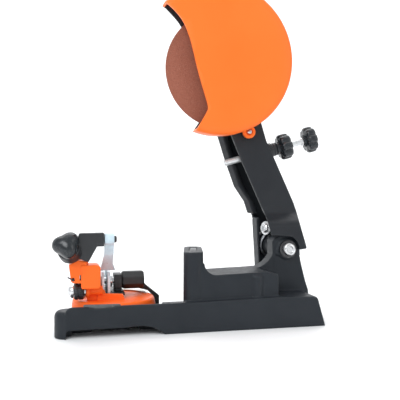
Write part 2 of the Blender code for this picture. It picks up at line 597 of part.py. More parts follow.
# handle: stem bolted to the motor saddle, sleeved with a grip, rocker switch in its head
stem_dir = Vector((-0.26, -0.10, 0.96)).normalized()
stem_org = Vector((34.0, 81.0, 268.4))
stem_bm = prism_z(rounded([(24.0, 68.0), (44.0, 68.0), (44.0, 94.0), (24.0, 94.0)], 4, 3), 268.3, 273.0)
stem_bm = add(stem_bm, cyl(6.0, 3.0, 50.0, stem_org, stem_dir, 28))
piece("handle_stem", stem_bm, (0.03, 0.031, 0.034), 0.45, parent=head)
grip = turned([(9.0, 7.5), (10.6, 9.5), (10.0, 14.0), (11.2, 22.0), (11.4, 30.0), (10.4, 38.0), (11.4, 44.0),
               (11.6, 50.0), (9.4, 54.6), (5.0, 56.0)], stem_org, stem_dir, 32)
grip = cut(grip, cyl(6.3, 0, 50.6, stem_org, stem_dir, 28))
piece("handle_grip", grip, (0.02, 0.02, 0.022), 0.75, parent=head)

sw_n = Vector((0.78, 0.0, 0.62)).normalized()
# switch box on the upper right flank of the motor
sw_u = Vector((0, 1, 0))
sw_v = sw_n.cross(sw_u).normalized()
sw_c = Vector(WC) + Vector((0, 84.0, 0)) + sw_n * (MOTOR_R + 0.4)


def oriented_box(c, u, v, n, hu, hv, n0, n1, ch=0.0):
    pts = rounded([(-hu, -hv), (hu, -hv), (hu, hv), (-hu, hv)], ch, 3) if ch else [(-hu, -hv), (hu, -hv), (hu, hv), (-hu, hv)]
    return loft([[c + u * a + v * b + n * n0 for a, b in pts], [c + u * a + v * b + n * n1 for a, b in pts]])


swb = oriented_box(sw_c, sw_u, sw_v, sw_n, 13.0, 9.0, -6.0, 6.0, 2.0)
swb = cut(swb, cyl(MOTOR_R + GAP, 0, 140, WC, Y_AX, 56))
swb = cut(swb, oriented_box(sw_c, sw_u, sw_v, sw_n, 9.6, 6.0, 1.4, 10.0))
piece("switch_box", swb, BLACK, 0.5, parent=head)
rock_c = sw_c + sw_n * 4.2
rocker_axis = pivot("rocker_axis", rock_c.x, rock_c.y, rock_c.z)
OFF = math.radians(-7.0)
prof = [(a * math.cos(OFF) - b * math.sin(OFF), a * math.sin(OFF) + b * math.cos(OFF))
        for a, b in [(-8.6, 0.6), (-8.6, 3.2), (0.0, 1.6), (8.6, 3.2), (8.6, 0.6), (0.0, -1.9)]]
rocker = loft([[rock_c + sw_u * a + sw_n * b + sw_v * s for a, b in prof] for s in (-5.4, 5.4)])
rocker_axis.parent = head
rocker_axis.location = (rock_c - AXES["head_axis"]) * MM
piece("rocker_switch", rocker, (0.45, 0.02, 0.015), 0.35, parent=rocker_axis)

# ---- spindle group
spin = pivot("spindle_axis", WHEEL_X, 0, WHEEL_Z)
spin.parent = head
spin.location = (AXES["spindle_axis"] - AXES["head_axis"]) * MM
wheel = ring_turned([(WHEEL_BORE / 2, -WHEEL_T / 2), (WHEEL_R - 1.0, -WHEEL_T / 2), (WHEEL_R, -WHEEL_T / 2 + 0.9),
                     (WHEEL_R, WHEEL_T / 2 - 0.9), (WHEEL_R - 1.0, WHEEL_T / 2), (WHEEL_BORE / 2, WHEEL_T / 2)],
                    WC, Y_AX, 96)
piece("grinding_wheel", wheel, (0.32, 0.085, 0.055), 0.85, parent=spin)
shaft = turned([(3.4, -10.6), (4.0, -10.0), (4.0, 118.4), (3.2, 119.2)], WC, Y_AX, 28)
piece("spindle", shaft, STEEL, 0.3, 1.0, parent=spin)
piece("inner_flange", ring_turned([(4.3, -1.2), (WHEEL_BORE / 2 - 0.3, -1.2), (WHEEL_BORE / 2 - 0.3, 1.9), (11.6, 1.9),
                                   (11.6, 4.2), (6.4, 4.2), (6.4, 6.8), (4.3, 6.8)], WC, Y_AX, 40), STEEL, 0.3, 1.0, parent=spin)
piece("outer_flange", tube(4.3, 16.0, -4.0, -1.9, WC, Y_AX, 40), STEEL, 0.3, 1.0, parent=spin)
piece("wheel_nut", cut(turned([(7.0, -9.6), (7.5, -9.2), (7.5, -4.3)], WC, Y_AX, 6), cyl(4.3, -20, 0, WC, Y_AX, 24)),
      STEEL, 0.3, 1.0, parent=spin)
piece("armature", tube(4.3, 15.4, 63.0, 93.0, WC, Y_AX, 40), (0.34, 0.20, 0.12), 0.5, 0.7, parent=spin)
piece("commutator", tube(4.3, 9.4, 97.0, 107.0, WC, Y_AX, 32), (0.62, 0.33, 0.16), 0.35, 1.0, parent=spin)


def fan_blade(a, r):
    return r * (1.0 if math.cos(8 * a) > -0.2 else 0.62)


fan = cut(turned([(19.6, 55.5), (19.6, 59.5)], WC, Y_AX, 64, fan_blade), cyl(4.3, 50, 70, WC, Y_AX, 28))
piece("cooling_fan", fan, (0.05, 0.05, 0.05), 0.6, parent=spin)

# ---- depth rod with its end knob and lock knob
rod_len = (Vector((ROD_B[0], 0, ROD_B[1])) - Vector((ROD_A[0], 0, ROD_A[1]))).length
rod_axis = pivot("rod_axis", rod_org.x, rod_org.y, rod_org.z)
rod_axis.parent = head
rod_axis.location = (AXES["rod_axis"] - AXES["head_axis"]) * MM
rod = turned([(2.0, 0.0), (ROD_R, 1.2), (ROD_R, rod_len - 1.0), (2.2, rod_len)], rod_org, rod_dir, 24)
piece("depth_rod", rod, STEEL, 0.25, 1.0, parent=rod_axis)


def star(n, depth):
    def f(a, r):
        return r * (1.0 - depth * (0.5 - 0.5 * math.cos(n * a)) ** 1.6)
    return f


def star_knob(h0, thick, r, bore, centre, direction, lobes=6, hub=None, cap=False):
    prof = [(r * 0.80, h0), (r * 0.96, h0 + 1.0), (r, h0 + 2.4), (r, h0 + thick - 3.0), (r * 0.95, h0 + thick - 1.2),
            (r * 0.72, h0 + thick)]
    k = turned(prof, centre, direction, 48, star(lobes, 0.22))
    if hub:
        k = add(k, turned([(hub[0], h0 - hub[1]), (hub[0], h0 + 1.0)], centre, direction, 28))
    return k


knob_h = 85.4
ek = star_knob(knob_h, 9.6, 12.6, 3.0, rod_org, rod_dir, 6, (6.0, 2.0))
ek = cut(ek, cyl(ROD_R + 0.3, knob_h - 8, rod_len + 0.4, rod_org, rod_dir, 24))
end_org = rod_org + rod_dir * (knob_h + 6.0)
end_axis = pivot("end_knob_axis", end_org.x, end_org.y, end_org.z)
end_axis.parent = rod_axis
end_axis.location = (AXES["end_knob_axis"] - AXES["rod_axis"]) * MM
piece("rod_end_knob", ek, BLACK, 0.42, parent=end_axis)

lock_axis = pivot("rod_lock_axis", rod_org.x, rod_org.y, rod_org.z)
lock_axis.parent = head
lock_axis.location = (AXES["rod_lock_axis"] - AXES["head_axis"]) * MM
lk_h = bush_h + 13.2
lk = star_knob(lk_h, 11.0, 12.4, 3.0, rod_org, rod_dir, 6, (6.2, 3.6))
lk = cut(lk, cyl(ROD_R + 0.35, lk_h - 8, lk_h + 20, rod_org, rod_dir, 24))
piece("rod_lock_knob", lk, BLACK, 0.42, parent=lock_axis)

# ================================================================ swivel table with the chain vise
table = pivot("table_axis", TABLE_X, 0, TABLE_Z0)
TC = (TABLE_X, 0, 0)
disc = turned([(TABLE_R, TABLE_Z0), (TABLE_R, TABLE_Z0 + 1.0), (TABLE_R - 1.0, TABLE_Z1 - 1.6), (TABLE_R - 2.4, TABLE_Z1)],
              TC, Z_AX, 72)
# tower standing on the disc's near-left quarter: slotted left plate, rounded box and fin
tower_plate = prism_y(rounded([(-106.6, 59.5), (-105.4, 50.0), (-104.8, 44.2), (-97.5, 44.0), (-92.0, 44.0), (-92.0, 62.0),
                               (-99.0, 63.5)], [2, 1, 3, 0, 0, 1, 1], 3), -30.0, -20.0)
tower_box = prism_y(rounded([(-96.4, 39.0), (-80.4, 39.0), (-80.4, 59.0), (-96.4, 59.0)], [1.5, 2.5, 3.5, 0.5], 4), -31.0, -26.8)
tower_back = prism_y(rounded([(-91.6, 39.0), (-80.4, 39.0), (-80.4, 59.0), (-96.4, 59.0), (-96.4, 44.2), (-91.6, 44.2)],
                             [0, 2.5, 3.5, 0.5, 0, 0], 4), -27.0, -14.0)
tower_fin = prism_y([(-95.2, 55.0), (-90.0, 55.0), (-91.4, 69.0), (-92.6, 69.0)], -27.0, -21.0)
tower_leg = box(-91.2, -81.0, -17.0, -8.6, 24.0, 41.0)
barrel_b = turned([(5.9, -92.4), (5.9, -89.2), (3.9, -89.2), (3.9, -78.0)], (0, SCREW_Y, SCREW_Z), X_AX, 32)
tower = add(disc, tower_leg, tower_back, tower_box, tower_plate, tower_fin, barrel_b)
wedge = prism_y([(-84.0, 26.0), (-60.0, 26.0), (-62.0, 29.2), (-82.0, 29.2)], -16.0, 23.0)
# shoulder in front of the rails, stepping down to the right
shoulder = prism_y([(-83.0, 26.0), (-81.0, 37.6), (-79.2, 38.2), (-76.0, 34.8), (-75.4, 32.6), (-60.6, 31.6), (-58.8, 26.0)],
                   -18.2, -14.8)
tower = add(tower, wedge, shoulder)
tower = cut(tower,
            cyl(3.25, -130, -60, (0, SCREW_Y, SCREW_Z), X_AX, 24),
            cyl(1.5, -40, -10, (-103.0, 0, 47.2), Y_AX, 18),
            box(-97.7, -96.5, -40, -15, 46.2, 51.0),
            cyl(5.25, 0, 60, (TABLE_X, 0, 0), Z_AX, 28),
            cyl(9.0, 24.9, 60, (TABLE_X, 0, 0), Z_AX, 6))
piece("turntable", tower, ORANGE, 0.40, parent=table)

# carriage bolt through the table, its hex head sunk in the disc
pb = turned([(7.9, 25.1), (7.9, 28.9)], TC, Z_AX, 6)
pb = add(pb, cyl(5.0, 1.6, 26.0, TC, Z_AX, 28))
piece("pivot_bolt", pb, STEEL, 0.3, 1.0, parent=table)

# rail bed: grey plate on the wedge, carrying the fixed rail
bed = box(-80.4, -58.2, -12.0, 27.0, 29.5, 31.5)
piece("rail_bed", bed, (0.45, 0.45, 0.44), 0.4, 0.9, parent=table)


def rail(x0, x1, z0, z1):
    return prism_x(rounded([(-14.0, z0), (28.0, z0), (28.0, z1 - 4.0), (24.0, z1), (-10.0, z1), (-14.0, z1 - 4.0)],
                           [0.5, 0.5, 2, 3, 3, 2], 3), x0, x1)


fr = cut(rail(-78.6, -76.2, 31.8, 50.6), cyl(3.4, -100, -50, (0, 7.0, 40.4), X_AX, 24),
         cyl(1.6, -100, -50, (0, 22.0, 40.4), X_AX, 16))
piece("fixed_rail", fr, STEEL, 0.3, 1.0, parent=table)
backstop = add(box(-80.2, -78.9, -12.0, 26.0, 31.8, 46.0), box(-90.0, -78.9, 14.0, 24.0, 31.8, 34.0))
backstop = cut(backstop, cyl(3.4, -100, -50, (0, 7.0, 40.4), X_AX, 24))
piece("rail_support", backstop, (0.45, 0.45, 0.44), 0.4, 0.9, parent=table)

# clamp: screw along X through both rails, black collar block and faceted lever hub with a slanted handle
collar = cut(box(-66.6, -59.8, -1.0, 15.0, 33.6, 46.4), cyl(4.6, -80, -40, (0, 7.0, 40.4), X_AX, 24))
foot_b = box(-66.6, -59.8, 0.0, 14.0, 31.8, 35.0)
piece("clamp_block", add(collar, foot_b), BLACK, 0.45, parent=table)

jaw = pivot("jaw_axis", -73.6, 7.0, 40.4)
jaw.parent = table
jaw.location = (AXES["jaw_axis"] - AXES["table_axis"]) * MM
mr = cut(rail(-73.4, -71.0, 31.8, 50.6), cyl(3.4, -100, -50, (0, 7.0, 40.4), X_AX, 24))
piece("moving_rail", mr, STEEL, 0.3, 1.0, parent=jaw)
pusher = cut(turned([(6.0, -70.7), (6.0, -67.9)], (0, 7.0, 40.4), X_AX, 24), cyl(3.4, -100, -50, (0, 7.0, 40.4), X_AX, 24))
piece("jaw_washer", pusher, STEEL, 0.3, 1.0, parent=jaw)

clamp = pivot("clamp_axis", -59.0, 7.0, 40.4)
clamp.parent = table
clamp.location = (AXES["clamp_axis"] - AXES["table_axis"]) * MM


def octo(r, sy=1.0, rot=22.5):
    return [(7.0 + r * sy * math.cos(math.radians(rot + 45 * i)), 40.4 + r * math.sin(math.radians(rot + 45 * i))) for i in range(8)]


hub = loft([[(-59.4, y, z) for y, z in octo(7.6)], [(-57.6, y, z) for y, z in octo(8.4)],
            [(-41.4, y, z) for y, z in octo(8.4)], [(-39.6, y, z) for y, z in octo(7.4)]])
hub = cut(hub, cyl(3.3, -64, -46, (0, 7.0, 40.4), X_AX, 24))
# cranked handle: a flat bar that runs down past the disc's edge
handle = prism_y([(-46.0, 43.0), (-40.6, 40.0), (-36.6, 34.2), (-24.4, 24.2), (-24.0, 23.0), (-24.0, 16.4), (-24.8, 15.6), (-30.4, 15.6),
                  (-31.0, 16.4), (-31.0, 25.2), (-35.2, 29.0), (-46.0, 32.0)], 12.5, 21.5)
hub = add(hub, handle)
piece("clamp_lever", hub, BLACK, 0.45, parent=clamp)
cs = turned([(2.6, -80.9), (2.9, -80.5), (2.9, -47.0)], (0, 7.0, 40.4), X_AX, 24)
piece("clamp_screw", cs, STEEL, 0.3, 1.0, parent=clamp)

# ---- chain stop: black bracket on the tower, lobed knob, hinged pawl
kd, ku, kv = frame_of(KNOB_DIR)
cup_c = KNOB_C - KNOB_DIR * 15.0
cup = turned([(8.2, -2.0), (9.6, 0.0), (9.6, 7.6), (8.6, 8.4)], cup_c, KNOB_DIR, 36)
web = prism_y(rounded([(-100.0, 72.0), (-98.4, 86.0), (-77.6, 86.0), (-77.6, 74.6), (-83.4, 74.6), (-90.6, 61.6),
                       (-96.0, 63.9)], [2, 2, 0.5, 0.5, 1, 0.5, 0.5], 3), -33.0, -27.4)
bossx = turned([(4.4, -98.0), (4.4, -85.6), (5.5, -85.6), (5.9, -85.1), (5.9, -77.9), (5.4, -77.5)], (0, -27.0, 80.2), X_AX, 32)
bridge = loft([[(-109.0, -31.5, 66.5), (-96.0, -27.6, 70.0), (-95.5, -27.6, 79.0), (-106.0, -32.0, 77.0)],
               [(-108.0, -29.0, 64.2), (-95.0, -27.4, 64.2), (-94.5, -27.4, 77.0), (-104.5, -29.5, 75.0)]])
bracket = add(cup, web, bossx)
bracket = add(bracket, box(-104.0, -95.0, -33.0, -28.4, 64.2, 74.0))
bracket = cut(bracket, cyl(2.3, -90, -60, (0, -27.0, 80.2), X_AX, 20),
              cyl(3.3, 0.5, 30, cup_c, KNOB_DIR, 24),
              box(-110, -80, -31.4, -16.6, 50.0, 63.8),
              box(-99.5, -91.5, -24.5, -18.0, 70.0, 90.0))
piece("stop_bracket", bracket, BLACK, 0.42, parent=table)

knob_axis = pivot("stop_knob_axis", KNOB_C.x, KNOB_C.y, KNOB_C.z)
knob_axis.parent = table
knob_axis.location = (AXES["stop_knob_axis"] - AXES["table_axis"]) * MM


def three(a, r):
    return r * (1.0 - 0.24 * (0.5 - 0.5 * math.cos(3 * a)))


lobed = turned([(9.4, -5.6), (11.4, -4.6), (12.0, -2.4), (11.8, 0.6), (10.4, 3.4), (7.6, 5.6), (3.6, 6.9), (0.0, 7.2)],
               KNOB_C, KNOB_DIR, 48, three)
lobed = cut(lobed, cyl(3.3, -10, 2.0, KNOB_C, KNOB_DIR, 24))
piece("stop_knob", lobed, BLACK, 0.35, parent=knob_axis)
ks = turned([(2.6, -13.6), (3.0, -13.0), (3.0, 1.6)], KNOB_C, KNOB_DIR, 24)
piece("stop_knob_screw", ks, STEEL, 0.3, 1.0, parent=knob_axis)

pawl_axis = pivot("pawl_axis", -73.0, -27.0, 80.2)
pawl_axis.parent = table
pawl_axis.location = (AXES["pawl_axis"] - AXES["table_axis"]) * MM
eye = cyl(5.2, -77.0, -69.0, (0, -27.0, 80.2), X_AX, 28)
arm_p = loft([[(-76.9, -31.0, 79.0), (-69.1, -31.0, 79.0), (-69.1, -24.0, 79.0), (-76.9, -24.0, 79.0)],
              [(-76.9, -24.0, 66.5), (-69.1, -24.0, 66.5), (-69.1, -20.5, 68.0), (-76.9, -20.5, 68.0)],
              [(-78.4, -17.0, 58.0), (-69.2, -17.0, 58.0), (-69.2, -14.6, 59.4), (-78.4, -14.6, 59.4)],
              [(-79.8, -11.4, 51.6), (-66.6, -11.4, 51.6), (-66.6, -9.0, 52.8), (-79.8, -9.0, 52.8)]])
pawl = cut(add(eye, arm_p), cyl(2.3, -90, -60, (0, -27.0, 80.2), X_AX, 20))
piece("chain_pawl", pawl, STEEL, 0.28, 1.0, parent=pawl_axis)
pin = turned([(1.95, -89.6), (1.95, -68.7), (2.9, -68.7), (2.9, -67.3), (2.0, -66.7)], (0, -27.0, 80.2), X_AX, 20)
piece("pawl_pin", pin, STEEL, 0.28, 1.0, parent=table)

# ---- locking screw of the tower: domed head, knurled nut, washer, cross pin
adj_axis = pivot("knurled_axis", -98.0, SCREW_Y, SCREW_Z)
adj_axis.parent = table
adj_axis.location = (AXES["knurled_axis"] - AXES["table_axis"]) * MM


def knurl(a, r):
    return r * (1.0 - 0.05 * (0.5 - 0.5 * math.cos(12 * a)))


kn = turned([(6.6, -102.2), (7.3, -101.6), (7.3, -94.6), (6.6, -94.0)], (0, SCREW_Y, SCREW_Z), X_AX, 60, knurl)
kn = cut(kn, cyl(3.3, -120, -80, (0, SCREW_Y, SCREW_Z), X_AX, 24))
piece("knurled_nut", kn, BLACK, 0.5, parent=adj_axis)
dome = turned([(0.0, -107.4), (3.4, -106.8), (5.2, -105.2), (5.8, -103.4), (5.8, -102.5), (3.0, -102.5), (3.0, -79.0),
               (2.4, -78.4)], (0, SCREW_Y, SCREW_Z), X_AX, 28)
piece("dome_bolt", dome, STEEL, 0.25, 1.0, parent=table)
piece("thrust_washer", tube(3.35, 6.6, -93.7, -92.7, (0, SCREW_Y, SCREW_Z), X_AX, 32), STEEL, 0.3, 1.0, parent=table)
piece("tower_pin", sweep([(-107.6, -31.6, 49.6), (-105.4, -31.6, 48.4), (-103.6, -31.5, 47.4), (-103.0, -30.8, 47.2),
                          (-103.0, -28.0, 47.2), (-103.0, -21.0, 47.2)], 0.55, 8), (0.08, 0.08, 0.08), 0.4, 0.8, parent=table)

# scale plate on the far half of the disc
sc = cut(common(tube(30.0, 34.2, TABLE_Z1 + GAP, TABLE_Z1 + GAP + 0.8, TC, Z_AX, 64), box(-97.0, -37.0, 5.0, 40.0, 20, 40)),
         box(-90.0, -50.0, -40, 4, 20, 40))
piece("angle_scale", sc, (0.75, 0.74, 0.70), 0.4, 0.3, parent=table)

# ---- lock knob under the table
lock = pivot("table_lock_axis", TABLE_X, 0, 6.0)
lock.parent = table
lock.location = (AXES["table_lock_axis"] - AXES["table_axis"]) * MM


def five(a, r):
    return r * (1.0 - 0.17 * (0.5 - 0.5 * math.cos(5 * a)))


tk = turned([(21.0, 1.2), (23.0, 2.4), (23.0, 7.6), (20.0, 9.4), (9.0, 10.2), (9.0, 11.6)], TC, Z_AX, 60,
            lambda a, r: five(a, r) if r > 10 else r)
tk = cut(tk, cyl(5.3, -5, 20, TC, Z_AX, 28))
piece("table_lock_knob", tk, BLACK, 0.45, parent=lock)

# washer-headed tension screw facing out of the fork, in its lug on the arm's spine
ts = turned([(2.2, -9.0), (2.5, -8.6), (2.5, 0.0), (6.6, 0.0), (6.6, 1.2), (4.6, 1.4), (4.6, 3.4), (3.6, 4.2)],
            lug_org, lug_dir, 30)
piece("spring_screw", ts, STEEL, 0.22, 1.0, parent=head)
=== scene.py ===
import json
import math
import bpy
import bmesh
from mathutils import Vector, Matrix, noise


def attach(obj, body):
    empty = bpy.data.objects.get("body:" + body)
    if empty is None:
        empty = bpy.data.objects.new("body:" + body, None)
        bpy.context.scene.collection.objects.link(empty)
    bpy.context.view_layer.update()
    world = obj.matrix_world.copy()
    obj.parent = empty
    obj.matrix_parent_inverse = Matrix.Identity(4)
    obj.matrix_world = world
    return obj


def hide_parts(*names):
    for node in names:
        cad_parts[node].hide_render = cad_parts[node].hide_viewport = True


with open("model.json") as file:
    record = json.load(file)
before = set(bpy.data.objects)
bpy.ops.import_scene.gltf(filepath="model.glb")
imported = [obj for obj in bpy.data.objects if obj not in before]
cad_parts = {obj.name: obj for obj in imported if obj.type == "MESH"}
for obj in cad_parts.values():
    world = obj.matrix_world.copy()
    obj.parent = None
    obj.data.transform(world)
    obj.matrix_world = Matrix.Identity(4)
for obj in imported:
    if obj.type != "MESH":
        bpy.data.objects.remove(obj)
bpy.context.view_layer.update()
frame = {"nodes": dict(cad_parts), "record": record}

SCN = bpy.context.scene
COL = SCN.collection
MM = 0.001
FINE = 1.7                     # share of the nominal number of facets round a turned piece
NODE_BODY = {n: b for b, ns in frame["record"]["behaviour"]["bodies"].items() for n in ns}

# ---------------------------------------------------------------- the frame's dimensions (mm)
GAP = 0.3
WHEEL_R, WHEEL_T, WHEEL_BORE = 54.0, 3.2, 22.2
WHEEL_X, WHEEL_Z = 34.0, 232.4
HINGE_X, HINGE_Z = 94.0, 66.5
TABLE_X, TABLE_R, TABLE_Z0, TABLE_Z1 = -67.0, 37.0, 18.6, 27.0
SCREW_Y, SCREW_Z = -19.2, 35.9
BASE_X0, BASE_X1, BASE_Y0, BASE_Y1 = -118.5, 118.2, -41.0, 52.0
BASE_TOP, TRAY_TOP, POST_TOP = 26.0, 10.0, 68.0
COVER_X, COVER_Z, COVER_R = 29.0, 241.5, 69.8
LUG_X, LUG_Z = 59.8, 176.2
COVER_Y0, COVER_Y1 = -13.5, 4.0
PLATE_Y0, PLATE_Y1 = 4.3, 5.8
ARM_Y0, ARM_Y1, ARM_LOW_Y0, ARM_LOW_Y1, ARM_T = 6.2, 50.0, -14.0, 53.0, 4.0
FORK_APEX = (-112.2, -537.8, 122.6)
ROD_Y, ROD_A, ROD_B, ROD_R = 16.0, (39.2, 147.2), (128.0, 171.8), 3.0
MOTOR_R, MOTOR_Y0, MOTOR_Y1 = 25.5, 50.3, 112.0
KNOB_DIR = Vector((-0.25, -0.80, 0.55)).normalized()
KNOB_C = Vector((-108.6, -41.0, 77.6))
X_AX, Y_AX, Z_AX = Vector((1, 0, 0)), Vector((0, 1, 0)), Vector((0, 0, 1))
WC = Vector((WHEEL_X, 0, WHEEL_Z))
HC = Vector((HINGE_X, 0, HINGE_Z))
TC = Vector((TABLE_X, 0, 0))
rod_dir = Vector((ROD_B[0] - ROD_A[0], 0, ROD_B[1] - ROD_A[1])).normalized()
rod_org = Vector((ROD_A[0], ROD_Y, ROD_A[1]))
rod_len = (Vector((ROD_B[0], 0, ROD_B[1])) - Vector((ROD_A[0], 0, ROD_A[1]))).length
bush_h = (82.0 - ROD_A[0]) / rod_dir.x

# ---------------------------------------------------------------- camera
cam_data = bpy.data.cameras.new("camera")
cam = bpy.data.objects.new("camera", cam_data)
COL.objects.link(cam)
cam_data.sensor_width = 36.0
cam_data.lens = 54.0
cam_data.clip_start, cam_data.clip_end = 0.01, 20.0
cam.location = (-0.11217, -0.53779, 0.12264)
cam.rotation_euler = (math.pi / 2 - 0.018331, 0.0, -0.226893)
SCN.camera = cam

# ---------------------------------------------------------------- material helpers


class Mat:
    """A node material: short calls that add nodes and return their output sockets."""

    def __init__(self, name):
        self.m = bpy.data.materials.new(name)
        self.m.use_nodes = True
        self.nt = self.m.node_tree
        self.nt.nodes.clear()
        out = self.nt.nodes.new("ShaderNodeOutputMaterial")
        self.b = self.nt.nodes.new("ShaderNodeBsdfPrincipled")
        self.nt.links.new(self.b.outputs[0], out.inputs[0])
        self.tc = self.nt.nodes.new("ShaderNodeTexCoord").outputs["Object"]

    def link(self, a, b):
        self.nt.links.new(a, b)

    def put(self, sock, v):
        if isinstance(v, bpy.types.NodeSocket):
            self.link(v, sock)
        else:
            sock.default_value = v

    def mapping(self, scale=(1, 1, 1), rot=(0, 0, 0), loc=(0, 0, 0)):
        n = self.nt.nodes.new("ShaderNodeMapping")
        self.link(self.tc, n.inputs["Vector"])
        n.inputs["Scale"].default_value = scale
        n.inputs["Rotation"].default_value = rot
        n.inputs["Location"].default_value = loc
        return n.outputs[0]

    def noise(self, scale, detail=2.0, rough=0.5, vec=None, dist=0.0):
        n = self.nt.nodes.new("ShaderNodeTexNoise")
        self.link(vec or self.tc, n.inputs["Vector"])
        n.inputs["Scale"].default_value = scale
        n.inputs["Detail"].default_value = detail
        n.inputs["Roughness"].default_value = rough
        n.inputs["Distortion"].default_value = dist
        return n.outputs["Fac"]

    def voronoi(self, scale, feature="F1", out="Distance", vec=None, rnd=1.0):
        n = self.nt.nodes.new("ShaderNodeTexVoronoi")
        n.feature = feature
        self.link(vec or self.tc, n.inputs["Vector"])
        n.inputs["Scale"].default_value = scale
        n.inputs["Randomness"].default_value = rnd
        return n.outputs[out]

    def ramp(self, fac, stops, smooth=False):
        n = self.nt.nodes.new("ShaderNodeValToRGB")
        self.link(fac, n.inputs[0])
        cr = n.color_ramp
        cr.interpolation = "EASE" if smooth else "LINEAR"
        while len(cr.elements) < len(stops):
            cr.elements.new(0.5)
        for e, (p, c) in zip(cr.elements, stops):
            e.position = p
            e.color = (c, c, c, 1) if isinstance(c, (int, float)) else (c[0], c[1], c[2], 1)
        return n.outputs[0]

    def math(self, op, a, b=0.0, clamp=False):
        n = self.nt.nodes.new("ShaderNodeMath")
        n.operation = op
        n.use_clamp = clamp
        self.put(n.inputs[0], a)
        self.put(n.inputs[1], b)
        return n.outputs[0]

    def remap(self, v, lo, hi, a=0.0, b=1.0):
        n = self.nt.nodes.new("ShaderNodeMapRange")
        self.link(v, n.inputs["Value"])
        n.inputs["From Min"].default_value = lo
        n.inputs["From Max"].default_value = hi
        n.inputs["To Min"].default_value = a
        n.inputs["To Max"].default_value = b
        return n.outputs[0]

    def mix(self, fac, a, b, blend="MIX"):
        n = self.nt.nodes.new("ShaderNodeMix")
        n.data_type = "RGBA"
        n.blend_type = blend
        self.put(n.inputs[0], fac)
        for i, v in ((6, a), (7, b)):
            if isinstance(v, bpy.types.NodeSocket):
                self.link(v, n.inputs[i])
            else:
                n.inputs[i].default_value = (v[0], v[1], v[2], 1)
        return n.outputs[2]

    def bump(self, height, dist, strength=1.0, normal=None):
        n = self.nt.nodes.new("ShaderNodeBump")
        n.inputs["Strength"].default_value = strength
        n.inputs["Distance"].default_value = dist
        self.link(height, n.inputs["Height"])
        if normal:
            self.link(normal, n.inputs["Normal"])
        return n.outputs[0]

    def pointy(self):
        return self.nt.nodes.new("ShaderNodeNewGeometry").outputs["Pointiness"]

    def done(self, color=None, rough=None, normal=None, metallic=0.0, **kw):
        b = self.b
        if color is not None:
            if isinstance(color, bpy.types.NodeSocket):
                self.link(color, b.inputs["Base Color"])
            else:
                b.inputs["Base Color"].default_value = (color[0], color[1], color[2], 1)
        if rough is not None:
            self.put(b.inputs["Roughness"], rough)
        if normal is not None:
            self.link(normal, b.inputs["Normal"])
        b.inputs["Metallic"].default_value = metallic
        for k, v in kw.items():
            b.inputs[k.replace("_", " ")].default_value = v
        return self.m


def mat_cast(name, c0, c1, edge_wear_and_highlight, rough=0.44, grain=0.00005):
    """Dark stove paint over a sand casting: fine grain, slow unevenness, and convex edges lightened in patches as
    rubbed paint and as a painted highlight.
    """
    m = Mat(name)
    big = m.noise(26, 3, 0.55)
    mid = m.noise(240, 3, 0.6)
    fine = m.noise(1700, 2, 0.6)
    col = m.mix(m.ramp(big, [(0.32, 0.0), (0.68, 1.0)]), c0, c1)
    # rubbed paint and painted highlight: convex edges (high pointiness) lightened in patches
    edge_highlight = m.math("MULTIPLY", m.remap(m.pointy(), 0.515, 0.60), m.ramp(mid, [(0.38, 0.25), (0.62, 1.0)]), True)
    col = m.mix(m.math("MULTIPLY", edge_highlight, 0.55), col, edge_wear_and_highlight)
    speck = m.ramp(m.voronoi(420), [(0.0, 1.0), (0.045, 0.0)])
    speck = m.math("MULTIPLY", speck, m.ramp(m.noise(60, 2), [(0.60, 0.0), (0.72, 0.5)]))
    col = m.mix(speck, col, (0.16, 0.165, 0.16))
    r = m.math("ADD", m.remap(mid, 0.3, 0.7, rough - 0.05, rough + 0.06), m.remap(big, 0.3, 0.7, -0.03, 0.04))
    h = m.math("ADD", m.math("MULTIPLY", fine, 0.55), m.math("MULTIPLY", mid, 1.3))
    return m.done(col, r, m.bump(h, grain, 1.0), Specular_IOR_Level=0.20)


def mat_orange(name, c0, c1, rough, peel, painted_hollow_shade=(0.62, 0.045, 0.008)):
    """Orange finish with a faint orange peel, painted shade darkening the concave corners and a painted highlight
    paling the convex rims.
    """
    m = Mat(name)
    big = m.noise(18, 2, 0.5)
    mid = m.noise(420, 2, 0.5)
    fine = m.noise(2600, 2, 0.6)
    col = m.mix(m.ramp(big, [(0.3, 0.0), (0.7, 1.0)]), c0, c1)
    # painted shade: concave corners (low pointiness) darkened towards deep red
    hollow = m.remap(m.pointy(), 0.492, 0.44)
    col = m.mix(m.math("MULTIPLY", hollow, 0.8, True), col, painted_hollow_shade)
    # painted highlight: convex rims (high pointiness) paled towards light orange
    edge_highlight = m.math("MULTIPLY", m.remap(m.pointy(), 0.53, 0.62), 0.35, True)
    col = m.mix(edge_highlight, col, (1.0, 0.30, 0.10))
    r = m.math("ADD", m.remap(mid, 0.3, 0.7, rough - 0.03, rough + 0.04), m.remap(big, 0.3, 0.7, -0.02, 0.03))
    h = m.math("ADD", m.math("MULTIPLY", mid, 1.0), m.math("MULTIPLY", fine, 0.25))
    return m.done(col, r, m.bump(h, peel, 1.0), Specular_IOR_Level=0.16)


def mat_plastic(name, c0, c1, rough, grain=0.00004, scale=1500, **kw):
    """Moulded plastic with spark-eroded grain and a little handling shine."""
    m = Mat(name)
    big = m.noise(70, 3, 0.6)
    fine = m.noise(scale, 3, 0.65)
    dust = m.ramp(m.noise(scale * 0.6, 2), [(0.66, 0.0), (0.8, 0.35)])
    col = m.mix(m.ramp(big, [(0.3, 0.0), (0.7, 1.0)]), c0, c1)
    col = m.mix(dust, col, (c1[0] * 2.2 + 0.01, c1[1] * 2.2 + 0.01, c1[2] * 2.2 + 0.01))
    r = m.math("ADD", m.remap(fine, 0.3, 0.7, rough - 0.06, rough + 0.07), m.remap(big, 0.3, 0.7, -0.04, 0.05))
    return m.done(col, r, m.bump(fine, grain, 1.0), **kw)


